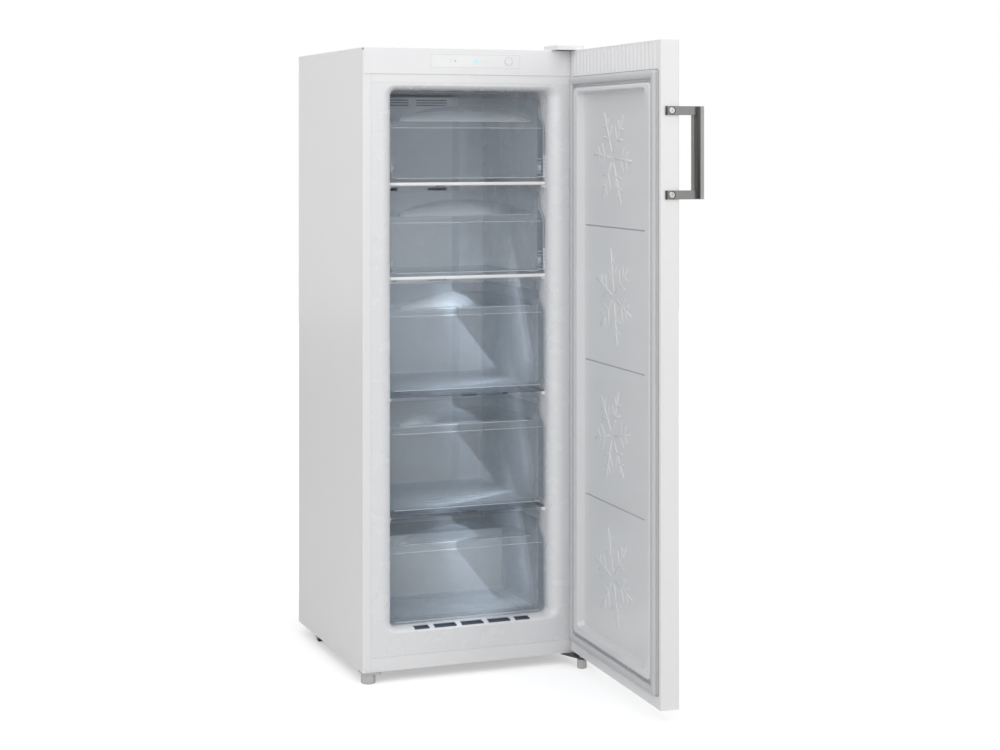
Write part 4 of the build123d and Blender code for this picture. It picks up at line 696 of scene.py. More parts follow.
def add_prism(work: bmesh.types.BMesh, outline: Sequence[Flat], axis: Axis, low: float, high: float) -> None:
    """Add a prism on a closed outline.

    Args:
        work: The bmesh to add to.
        outline: Corner points in the plane across the axis, in X, Y, Z order.
        axis: The axis that the prism runs along.
        low: Where it starts.
        high: Where it ends.
    """

    def lift(point: Flat, level: float) -> Point:
        """A flat point at a level on the axis."""
        values = list(point)
        values.insert(axis.value, level)
        return (values[0], values[1], values[2])

    bottom = [work.verts.new(lift(p, low)) for p in outline]
    top = [work.verts.new(lift(p, high)) for p in outline]
    work.faces.new(bottom)
    work.faces.new(list(reversed(top)))
    count = len(outline)
    for i in range(count):
        j = (i + 1) % count
        work.faces.new((bottom[i], top[i], top[j], bottom[j]))


def add_lathe(
    work: bmesh.types.BMesh, profile: Sequence[Flat], centre: Point, axis: Axis, steps: int = 32
) -> None:
    """Add a turned form.

    Args:
        work: The bmesh to add to.
        profile: Points as (radius, height along the axis); ends at radius 0 are closed.
        centre: Point on the axis at height 0.
        axis: The turning axis.
        steps: How many flats go round.
    """
    others = [a for a in range(3) if a != axis.value]
    rings: list[list[bmesh.types.BMVert]] = []
    for radius, height in profile:
        ring = []
        for i in range(1 if radius < 1e-6 else steps):
            angle = 2 * math.pi * i / steps
            point = list(centre)
            point[axis.value] += height
            point[others[0]] += radius * math.cos(angle)
            point[others[1]] += radius * math.sin(angle)
            ring.append(work.verts.new(point))
        rings.append(ring)
    for first, second in zip(rings, rings[1:]):
        for i in range(steps):
            j = (i + 1) % steps
            lower = [first[i % len(first)], first[j % len(first)]]
            upper = [second[j % len(second)], second[i % len(second)]]
            unique = list(dict.fromkeys(lower + upper))
            if len(unique) > 2:
                work.faces.new(unique)
    for ring in (rings[0], rings[-1]):
        if len(ring) > 1:
            work.faces.new(ring)


def add_frame(
    work: bmesh.types.BMesh, half: Flat, centre: Flat, profile: Sequence[Flat], y: float, corner: float = 4.0
) -> None:
    """Add a closed frame in a plane that faces along Y.

    Args:
        work: The bmesh to add to.
        half: Half-width and half-height of the frame's outer edge.
        centre: Its middle, as (x, z).
        profile: Closed section as (distance in from the outer edge, height along Y).
        y: Where height 0 lies.
        corner: Radius of the outer corners.
    """
    rings: list[list[bmesh.types.BMVert]] = []
    steps = 5
    for inward, height in profile:
        radius = max(corner - inward, 0.4)
        ring = []
        for sign_x, sign_z, start in ((1, 1, 0), (-1, 1, 90), (-1, -1, 180), (1, -1, 270)):
            cx = centre[0] + sign_x * (half[0] - inward - radius)
            cz = centre[1] + sign_z * (half[1] - inward - radius)
            for i in range(steps + 1):
                angle = math.radians(start + 90 * i / steps)
                x, z = cx + radius * math.cos(angle), cz + radius * math.sin(angle)
                ring.append(work.verts.new((x, y + height, z)))
        rings.append(ring)
    for first, second in zip(rings, rings[1:] + rings[:1]):
        for i in range(len(first)):
            j = (i + 1) % len(first)
            work.faces.new((first[i], first[j], second[j], second[i]))


def rounded_box(size: Point, centre: Point, bevel: float) -> bmesh.types.BMesh:
    """A box with rounded edges, in millimetres.

    Args:
        size: Full size along each axis.
        centre: Its middle.
        bevel: Edge radius.

    Returns:
        The bmesh.
    """
    work = bmesh.new()
    bmesh.ops.create_cube(work, size=1.0)
    bmesh.ops.scale(work, vec=size, verts=work.verts)
    bmesh.ops.translate(work, vec=centre, verts=work.verts)
    bmesh.ops.bevel(
        work,
        geom=list(work.edges),
        offset=bevel,
        offset_type="OFFSET",
        segments=2,
        profile=0.5,
        affect="EDGES",
    )
    return work


def add_ridge(
    work: bmesh.types.BMesh, start: Flat, end: Flat, width: float, y: Flat, taper: float = 0.5
) -> None:
    """Add a low ridge with sloping sides, standing on a plane that faces along Y.

    Args:
        work: The bmesh to add to.
        start: One end of its middle line, as (x, z).
        end: The other end.
        width: Width at its foot.
        y: Where its foot and its crest lie.
        taper: Width of the crest as a share of the foot's.
    """
    along = Vector(end) - Vector(start)
    along.normalize()
    across = Vector((-along.y, along.x))
    rings = []
    for level, share in ((y[0], 1.0), (y[1], taper)):
        half = width * share / 2
        stretch = along * (half * 0.8)
        first, last = Vector(start) - stretch, Vector(end) + stretch
        flat = [first - across * half * 0.5, first + across * half * 0.5, Vector(start) + across * half]
        flat += [Vector(end) + across * half, last + across * half * 0.5, last - across * half * 0.5]
        flat += [Vector(end) - across * half, Vector(start) - across * half]
        rings.append([work.verts.new((point.x, level, point.y)) for point in flat])
    work.faces.new(rings[0])
    work.faces.new(list(reversed(rings[1])))
    for i in range(8):
        j = (i + 1) % 8
        work.faces.new((rings[0][i], rings[1][i], rings[1][j], rings[0][j]))


def add_block(work: bmesh.types.BMesh, x: Flat, y: Flat, z: Flat, bevel: float = 0.25) -> None:
    """Add a small block with broken edges.

    Args:
        work: The bmesh to add to.
        x: Its span along X.
        y: Its span along Y.
        z: Its span along Z.
        bevel: Edge radius.
    """
    size = (x[1] - x[0], y[1] - y[0], z[1] - z[0])
    centre = ((x[0] + x[1]) / 2, (y[0] + y[1]) / 2, (z[0] + z[1]) / 2)
    add_copy(work, rounded_box(size, centre, bevel))


def add_copy(work: bmesh.types.BMesh, other: bmesh.types.BMesh) -> None:
    """Add what another bmesh holds, and free it."""
    scrap = bpy.data.meshes.new("scrap")
    other.to_mesh(scrap)
    other.free()
    work.from_mesh(scrap)
    bpy.data.meshes.remove(scrap)


def joined(meshes: Sequence[bpy.types.Mesh], name: str, material: bpy.types.Material) -> bpy.types.Mesh:
    """Join plain meshes of one finish into one.

    Args:
        meshes: The meshes, removed here.
        name: Name of the joined mesh.
        material: Its finish.

    Returns:
        The joined mesh.
    """
    work = bmesh.new()
    for mesh in meshes:
        work.from_mesh(mesh)
        bpy.data.meshes.remove(mesh)
    bmesh.ops.recalc_face_normals(work, faces=work.faces)
    made = bpy.data.meshes.new(name)
    work.to_mesh(made)
    work.free()
    made.materials.clear()
    made.materials.append(material)
    return made


def moved(mesh: bpy.types.Mesh, place: Point, turn: float = 0.0, axis: Axis = Axis.Y) -> bpy.types.Mesh:
    """Turn a mesh about an axis through the origin, then shift it.

    Args:
        mesh: The mesh, in metres.
        place: Shift in millimetres.
        turn: Angle in degrees.
        axis: The axis.

    Returns:
        The same mesh.
    """
    spin = Matrix.Rotation(math.radians(turn), 4, axis.name)
    mesh.transform(Matrix.Translation([value * MM for value in place]) @ spin)
    return mesh


# ------------------------------------------------------------------ repeating forms


class RepeatTree:
    """Geometry node trees that repeat a form, each built once and reused."""

    def __init__(self) -> None:
        """Build the trees."""
        self.points = self._on_points()
        self.line = self._on_line()
        self.ring = self._on_ring()
        self.coil = self._thread()

    @staticmethod
    def _start(
        name: str, inputs: Sequence[tuple[str, str, object]]
    ) -> tuple[Graph, bpy.types.Node, bpy.types.Node]:
        """Make a tree with its inputs and its one output.

        Args:
            name: Name of the tree.
            inputs: Socket names, types and starting values.

        Returns:
            The graph, its input node and its output node.
        """
        tree = bpy.data.node_groups.new(name, "GeometryNodeTree")
        for label, kind, value in inputs:
            socket = tree.interface.new_socket(label, in_out="INPUT", socket_type=kind)
            if value is not None:
                socket.default_value = value
        tree.interface.new_socket("Geometry", in_out="OUTPUT", socket_type="NodeSocketGeometry")
        graph = Graph(tree)
        return graph, graph.add("NodeGroupInput"), graph.add("NodeGroupOutput")

    @staticmethod
    def _end(graph: Graph, ins: bpy.types.Node, outs: bpy.types.Node, source: bpy.types.NodeSocket) -> None:
        """Realise the instances and give them their finish."""
        real = graph.add("GeometryNodeRealizeInstances")
        finish = graph.add("GeometryNodeSetMaterial")
        graph.link(source, real.inputs[0])
        graph.link(real.outputs[0], finish.inputs["Geometry"])
        graph.link(ins.outputs["Finish"], finish.inputs["Material"])
        graph.link(finish.outputs[0], outs.inputs[0])

    def _on_points(self) -> bpy.types.NodeTree:
        """A form set on each point of a mesh, turned to the point's facing."""
        graph, ins, outs = self._start(
            "forms_on_points",
            [
                ("Places", "NodeSocketGeometry", None),
                ("Form", "NodeSocketObject", None),
                ("Size", "NodeSocketFloat", 1.0),
                ("Finish", "NodeSocketMaterial", None),
            ],
        )
        form = graph.add("GeometryNodeObjectInfo", transform_space="ORIGINAL")
        put = graph.add("GeometryNodeInstanceOnPoints")
        facing = graph.add("GeometryNodeInputNamedAttribute", data_type="FLOAT_VECTOR")
        facing.inputs["Name"].default_value = "facing"
        turn = graph.add("FunctionNodeAlignRotationToVector", axis="Z")
        graph.link(ins.outputs["Form"], form.inputs["Object"])
        graph.link(ins.outputs["Places"], put.inputs["Points"])
        graph.link(form.outputs["Geometry"], put.inputs["Instance"])
        graph.link(facing.outputs["Attribute"], turn.inputs["Vector"])
        graph.link(turn.outputs[0], put.inputs["Rotation"])
        graph.link(ins.outputs["Size"], put.inputs["Scale"])
        self._end(graph, ins, outs, put.outputs[0])
        return graph.tree

    def _on_line(self) -> bpy.types.NodeTree:
        """A turned block repeated along a line."""
        graph, ins, outs = self._start(
            "blocks_on_line",
            [
                ("Count", "NodeSocketInt", 5),
                ("Start", "NodeSocketVector", (0.0, 0.0, 0.0)),
                ("Step", "NodeSocketVector", (0.01, 0.0, 0.0)),
                ("Block", "NodeSocketVector", (0.002, 0.002, 0.002)),
                ("Turn", "NodeSocketVector", (0.0, 0.0, 0.0)),
                ("Finish", "NodeSocketMaterial", None),
            ],
        )
        line = graph.add("GeometryNodeMeshLine", mode="OFFSET")
        cube = graph.add("GeometryNodeMeshCube")
        put = graph.add("GeometryNodeInstanceOnPoints")
        turn = graph.add("FunctionNodeEulerToRotation")
        graph.link(ins.outputs["Count"], line.inputs["Count"])
        graph.link(ins.outputs["Start"], line.inputs["Start Location"])
        graph.link(ins.outputs["Step"], line.inputs["Offset"])
        graph.link(ins.outputs["Block"], cube.inputs["Size"])
        graph.link(line.outputs[0], put.inputs["Points"])
        graph.link(cube.outputs[0], put.inputs["Instance"])
        graph.link(ins.outputs["Turn"], turn.inputs[0])
        graph.link(turn.outputs[0], put.inputs["Rotation"])
        self._end(graph, ins, outs, put.outputs[0])
        return graph.tree

    def _on_ring(self) -> bpy.types.NodeTree:
        """A block repeated round a ring, its X side facing outwards."""
        graph, ins, outs = self._start(
            "blocks_on_ring",
            [
                ("Count", "NodeSocketInt", 12),
                ("Radius", "NodeSocketFloat", 0.01),
                ("Block", "NodeSocketVector", (0.002, 0.002, 0.002)),
                ("Finish", "NodeSocketMaterial", None),
            ],
        )
        ring = graph.add("GeometryNodeMeshCircle")
        cube = graph.add("GeometryNodeMeshCube")
        put = graph.add("GeometryNodeInstanceOnPoints")
        place = graph.add("GeometryNodeInputPosition")
        turn = graph.add("FunctionNodeAlignRotationToVector", axis="X")
        graph.link(ins.outputs["Count"], ring.inputs["Vertices"])
        graph.link(ins.outputs["Radius"], ring.inputs["Radius"])
        graph.link(ins.outputs["Block"], cube.inputs["Size"])
        graph.link(ring.outputs[0], put.inputs["Points"])
        graph.link(cube.outputs[0], put.inputs["Instance"])
        graph.link(place.outputs[0], turn.inputs["Vector"])
        graph.link(turn.outputs[0], put.inputs["Rotation"])
        self._end(graph, ins, outs, put.outputs[0])
        return graph.tree

    def _thread(self) -> bpy.types.NodeTree:
        """A thread: a wire wound up a stud."""
        graph, ins, outs = self._start(
            "wound_thread",
            [
                ("Turns", "NodeSocketFloat", 8.0),
                ("Radius", "NodeSocketFloat", 0.005),
                ("Height", "NodeSocketFloat", 0.01),
                ("Wire", "NodeSocketFloat", 0.0004),
                ("Finish", "NodeSocketMaterial", None),
            ],
        )
        spiral = graph.add("GeometryNodeCurveSpiral", Resolution=24)
        section = graph.add("GeometryNodeCurvePrimitiveCircle", Resolution=5)
        tube = graph.add("GeometryNodeCurveToMesh", Fill_Caps=True)
        graph.link(ins.outputs["Turns"], spiral.inputs["Rotations"])
        graph.link(ins.outputs["Radius"], spiral.inputs["Start Radius"])
        graph.link(ins.outputs["Radius"], spiral.inputs["End Radius"])
        graph.link(ins.outputs["Height"], spiral.inputs["Height"])
        graph.link(ins.outputs["Wire"], section.inputs["Radius"])
        graph.link(spiral.outputs[0], tube.inputs["Curve"])
        graph.link(section.outputs[0], tube.inputs["Profile Curve"])
        self._end(graph, ins, outs, tube.outputs[0])
        return graph.tree

    @staticmethod
    def bake(
        tree: bpy.types.NodeTree, name: str, values: dict[str, object], host: bpy.types.Mesh | None = None
    ) -> bpy.types.Mesh:
        """Run a tree and keep its result as a plain mesh.

        Args:
            tree: The tree.
            name: Name of the mesh.
            values: Input values under the sockets' names.
            host: The mesh that the tree works on, if any.

        Returns:
            The plain mesh.
        """
        mesh = host or bpy.data.meshes.new(name + "_host")
        holder = bpy.data.objects.new(name + "_holder", mesh)
        bpy.context.scene.collection.objects.link(holder)
        modifier = holder.modifiers.new("repeat", "NODES")
        modifier.node_group = tree
        sockets = {item.name: item.identifier for item in tree.interface.items_tree if item.in_out == "INPUT"}
        for label, value in values.items():
            modifier[sockets[label]] = value
        graph = bpy.context.evaluated_depsgraph_get()
        made = bpy.data.meshes.new_from_object(holder.evaluated_get(graph), depsgraph=graph)
        made.name = name
        bpy.data.objects.remove(holder)
        return made


@dataclass
class Fastener:
    """A screw head, drawn once and set in many places.

    Attributes:
        radius: Radius of the head in millimetres.
        height: Height of the head in millimetres.
    """

    radius: float = 4.0
    height: float = 1.8

    def form(self, material: bpy.types.Material) -> bpy.types.Object:
        """The head with its cross recess, standing on the XY plane.

        Args:
            material: Its finish.

        Returns:
            An object that is not in the scene.
        """
        work = bmesh.new()
        profile = [(0.0, 0.0), (1.0, 0.0), (1.0, 0.35), (0.86, 0.78)]
        profile += [(0.6, 0.97), (0.34, 1.0), (0.3, 0.45), (0.0, 0.4)]
        add_lathe(work, [(r * self.radius, h * self.height) for r, h in profile], (0.0, 0.0, 0.0), Axis.Z, 20)
        for turn in (0, 1):
            size = (0.18 * self.radius, 0.62 * self.radius, 0.5 * self.height)
            bar = rounded_box(size, (0.0, 0.0, 0.72 * self.height), 0.05)
            bmesh.ops.rotate(bar, verts=bar.verts, matrix=Matrix.Rotation(math.pi / 2 * turn + 0.4, 3, "Z"))
            add_copy(work, bar)
        return bpy.data.objects.new("screw_form", finished(work, "screw_form", material))


def facing_points(name: str, places: Sequence[Point], facings: Sequence[Point]) -> bpy.types.Mesh:
    """A mesh of loose points that each know which way they face.

    Args:
        name: Name of the mesh.
        places: Points in millimetres.
        facings: One direction for each.

    Returns:
        The mesh, in metres.
    """
    mesh = bpy.data.meshes.new(name)
    mesh.from_pydata([[v * MM for v in p] for p in places], [], [])
    attribute = mesh.attributes.new("facing", "FLOAT_VECTOR", "POINT")
    attribute.data.foreach_set("vector", [v for f in facings for v in f])
    return mesh


# ------------------------------------------------------------------ sub-assemblies


@dataclass
class Casing:
    """The cabinet's outer sheets, base and fasteners."""

    half_width: float = 270.0
    depth: float = 538.8
    sunk: float = 1.6
    side_screw: Flat = (22.0, 41.0)
    back_screws: tuple[float, ...] = (-180.0, -60.0, 60.0, 180.0)
    back_row: float = 1426.0
    screw: Fastener = field(default_factory=Fastener)

    def build(self, shop: Workshop, repeat: RepeatTree) -> None:
        """Dress the sheets and add the fasteners.

        Args:
            shop: The workshop.
            repeat: The repeating trees.
        """
        shop.dress(Paint.WHITE_SHEET, "side_panel_left", "side_panel_right", "kick_plate", "cross_rail")
        shop.dress(Paint.WHITE_MOULDING, "top_panel", "hinge_cover")
        shop.dress(Paint.BACK_SHEET, "back_panel")
        shop.dress(Paint.ZINC, "base_shroud", "base_rails", "compressor_tray", "foot_bracket")
        shop.dress(Paint.BRIGHT, "back_panel_screws", "hinge_screws", "roller_axles")
        shop.dress(Paint.DARK_STEEL, "lower_hinge_bracket", "upper_hinge_bracket")
        shop.dress(Paint.FOAM, "insulation_foam", "door_foam")
        self._screws(shop, repeat)

    def _screws(self, shop: Workshop, repeat: RepeatTree) -> None:
        """One nearly flush screw low on each side and a row along the top of the back."""
        places: list[Point] = []
        facings: list[Point] = []
        for side in (-1, 1):
            places.append((side * (self.half_width - self.sunk), *self.side_screw))
            facings.append((float(side), 0.0, 0.0))
        for x in self.back_screws:
            places.append((x, self.depth, self.back_row))
            facings.append((0.0, 1.0, 0.0))
        form = self.screw.form(shop.material(Paint.WHITE_MOULDING))
        mesh = repeat.bake(
            repeat.points,
            "casing_screws",
            {"Form": form, "Size": 1.0, "Finish": shop.material(Paint.WHITE_MOULDING)},
            facing_points("casing_screw_places", places, facings),
        )
        shop.place(mesh, "casing_screws", Body.CABINET, "zinc_steel")


@dataclass
class Fascia:
    """The control fascia: display, marks, button and grooves."""

    face_y: float = -2.0
    proud: float = 0.15
    window: tuple[float, float, float, float] = (-106.0, 116.0, 1410.8, 1441.2)
    button: Flat = (87.0, 1427.0)

    def build(self, shop: Workshop, repeat: RepeatTree) -> None:
        """Dress the fascia and add its marks.

        Args:
            shop: The workshop.
            repeat: The repeating trees.
        """
        shop.dress(Paint.WHITE_MOULDING, "control_housing", "control_button")
        shop.dress(Paint.LENS, "display_window")
        shop.dress(Paint.BOARD, "display_board")
        self._digits(shop)
        self._marks(shop, repeat)

    def _bar(self, work: bmesh.types.BMesh, x: Flat, z: Flat, slant: float = 0.0) -> None:
        """Add a flat mark on the fascia."""
        outline = [(x[0], z[0]), (x[1], z[0]), (x[1] + slant, z[1]), (x[0] + slant, z[1])]
        add_prism(work, outline, Axis.Y, self.face_y - self.proud, self.face_y + 0.1)

    def _digits(self, shop: Workshop) -> None:
        """The lit temperature, in seven-bar digits."""
        work = bmesh.new()
        z0, height, wide, thick = 1422.5, 7.6, 3.6, 0.95
        self._bar(work, (-3.4, -0.6), (z0 + height / 2 - thick / 2, z0 + height / 2 + thick / 2))
        self._bar(work, (2.6, 2.6 + thick), (z0, z0 + height / 2 - 0.15))
        self._bar(work, (2.6, 2.6 + thick), (z0 + height / 2 + 0.15, z0 + height))
        x = 5.4
        for level in (0.0, height / 2 - thick / 2, height - thick):
            self._bar(work, (x + 0.15, x + wide - 0.15), (z0 + level, z0 + level + thick))
        below = (z0 + thick + 0.1, z0 + height / 2 - thick / 2 - 0.1)
        over = (z0 + height / 2 + thick / 2 + 0.1, z0 + height - thick - 0.1)
        for side in (0.0, wide - thick):
            for span in (below, over):
                self._bar(work, (x + side, x + side + thick), span)
        mesh = finished(work, "display_digits", shop.material(Paint.DIGIT_GLOW))
        shop.place(mesh, "display_digits", Body.CABINET, "lens_plastic")

    def _marks(self, shop: Workshop, repeat: RepeatTree) -> None:
        """The lens edge, the snow mark, the scale ticks, and the end grooves drawn as dark bars of painted
        shade.
        """
        x0, x1, z0, z1 = self.window
        work = bmesh.new()
        section = [(0.0, 0.1), (0.0, -self.proud), (0.6, -self.proud), (0.6, 0.1)]
        half = ((x1 - x0) / 2, (z1 - z0) / 2)
        add_frame(work, half, ((x0 + x1) / 2, (z0 + z1) / 2), section, self.face_y, 1.5)
        ring = [(10.4, 0.1), (10.4, -0.12), (9.6, -0.12), (9.6, 0.1)]
        add_lathe(work, ring, (self.button[0], self.face_y, self.button[1]), Axis.Y, 48)
        mesh = finished(work, "lens_edge", shop.material(Paint.PALE_LINE))
        shop.place(mesh, "lens_edge", Body.CABINET, "white_plastic")
        marks = bmesh.new()
        for turn in range(3):
            angle = math.pi / 3 * turn
            c, s = math.cos(angle), math.sin(angle)
            arm = [(-3.4, -0.28), (3.4, -0.28), (3.4, 0.28), (-3.4, 0.28)]
            outline = [(-46.0 + a * c - b * s, 1426.5 + a * s + b * c) for a, b in arm]
            add_prism(marks, outline, Axis.Y, self.face_y - self.proud, self.face_y + 0.1)
        self._bar(marks, (-57.3, -56.8), (1422.0, 1431.0))
        # The end grooves: flat dark bars of painted shade.
        for z in (1430.0, 1416.0):
            self._bar(marks, (243.0, 252.5), (z - 0.5, z + 0.5))
        mesh = finished(marks, "fascia_marks", shop.material(Paint.SHADE_LINE))
        shop.place(mesh, "fascia_marks", Body.CABINET, "white_plastic")
        ticks = repeat.bake(
            repeat.line,
            "scale_ticks",
            {
                "Count": 5,
                "Start": (0.022, self.face_y * MM, 1.4247),
                "Step": (0.0042, 0.0, 0.0),
                "Block": (0.0022, 0.0002, 0.0009),
                "Finish": shop.material(Paint.PALE_LINE),
            },
        )
        shop.place(ticks, "scale_ticks", Body.CABINET, "white_plastic")


@dataclass
class ColdSpace:
    """The liner, the back cover with its slats, the coil and the fan."""

    vent_heights: tuple[float, ...] = (1119.0, 890.0, 622.0, 330.0)

    def build(self, shop: Workshop, repeat: RepeatTree) -> None:
        """Dress the inside and add the slats.

        Args:
            shop: The workshop.
            repeat: The repeating trees.
        """
        shop.dress(Paint.WHITE_LINER, "inner_liner", "evaporator_cover")
        shop.dress(Paint.ALUMINIUM, "evaporator")
        shop.dress(Paint.DARK_MOULDING, "fan")
        shop.dress(Paint.BRIGHT, "fan_motor")
        shop.dress(Paint.CLEAR_BRACKET, "flap_brackets")
        shop.dress(Paint.TRIM, "shelf_trims")
        shop.dress(Paint.SHELF_GLASS, "shelf_glass_1", "shelf_glass_2", "shelf_glass_3", "shelf_glass_4")
        self._slats(shop, repeat)
        self._slot_shades(shop)
        self._clips(shop)
        self._glass_edges(shop)
        self._bracket_ribs(shop, repeat)

    def _slats(self, shop: Workshop, repeat: RepeatTree) -> None:
        """Upright slats behind the cover's openings."""
        white = shop.material(Paint.WHITE_LINER)
        rows = []
        for side in (-1, 1):
            for z in self.vent_heights:
                values = {
                    "Count": 7,
                    "Start": (side * 0.043, 0.4386, z * MM),
                    "Step": (side * 0.0077, 0.0, 0.0),
                    "Block": (0.0012, 0.0016, 0.0076),
                    "Turn": (0.0, 0.0, 0.5 * side),
                    "Finish": white,
                }
                rows.append(repeat.bake(repeat.line, "vent_row", values))
        shop.place(joined(rows, "vent_slats", white), "vent_slats", Body.CABINET, "liner_plastic")

    @staticmethod
    def _slot_shades(shop: Workshop) -> None:
        """Painted shade: dark plates on the walls of the air slots and behind the louvres, where shadow
        falls.
        """
        widths, gap = (36.0, 54.0, 54.0, 54.0, 36.0), 13.0
        left = -(sum(widths) + gap * (len(widths) - 1)) / 2
        slot_z, slot_y = (97.4, 116.5), (4.0, 24.0)
        work = bmesh.new()
        for width in widths:
            right = left + width
            across = (left + 0.3, right - 0.3)
            walls = [(across, (24.2, 24.8)), (across, (3.2, 3.8))]
            walls += [((left + 0.2, left + 0.8), slot_y), ((right - 0.8, right - 0.2), slot_y)]
            for x, y in walls:
                add_block(work, x, y, slot_z, 0.1)
            left = right + gap
        for side in (-1, 1):
            ends = sorted((side * 10.4, side * 91.6))
            for row in range(3):
                top = 1346.0 - 6.4 * row
                add_block(work, (ends[0], ends[1]), (438.2, 438.8), (top - 3.0, top - 0.2), 0.1)
        mesh = finished(work, "slot_linings", shop.material(Paint.SLOT_SHADE))
        shop.place(mesh, "slot_linings", Body.CABINET, "liner_plastic")

    @staticmethod
    def _clips(shop: Workshop) -> None:
        """Dark clips under the front of the shelves."""
        work = bmesh.new()
        clips = [(-72.0, -50.0, 1138.0), (-8.0, 30.0, 644.0), (98.0, 108.0, 644.0), (-8.0, 30.0, 368.0)]
        for x0, x1, top in clips:
            add_block(work, (x0, x1), (56.0, 64.0), (top - 4.2, top + 0.02), 0.8)
        mesh = finished(work, "shelf_clips", shop.material(Paint.DARK_MOULDING))
        shop.place(mesh, "shelf_clips", Body.CABINET, "dark_plastic")

    @staticmethod
    def _glass_edges(shop: Workshop) -> None:
        """The dark lower line of the bare shelves' polished edge."""
        work = bmesh.new()
        for top in BARE_SHELVES:
            add_block(work, (-195.0, 195.0), (39.8, 40.4), (top - 3.9, top - 2.7), 0.15)
        mesh = finished(work, "glass_edge_lines", shop.material(Paint.GLASS_EDGE))
        shop.place(mesh, "glass_edge_lines", Body.CABINET, "shelf_glass")

    @staticmethod
    def _bracket_ribs(shop: Workshop, repeat: RepeatTree) -> None:
        """Small ribs on the front of the flaps' clear brackets, in the bright edge finish: painted glints
        standing in for the brackets' highlights.
        """
        clear = shop.material(Paint.CLEAR_EDGE)
        rows = []
        for side in (-1, 1):
            for z in FLAP_PIVOTS:
                values = {
                    "Count": 5,
                    "Start": (side * 0.1946, 0.0408, (z - 18.0) * MM),
                    "Step": (0.0, 0.0, 0.009),
                    "Block": (0.0038, 0.0009, 0.0024),
                    "Finish": clear,
                }
                rows.append(repeat.bake(repeat.line, "rib_row", values))
        shop.place(joined(rows, "bracket_ribs", clear), "bracket_ribs", Body.CABINET, "clear_plastic")


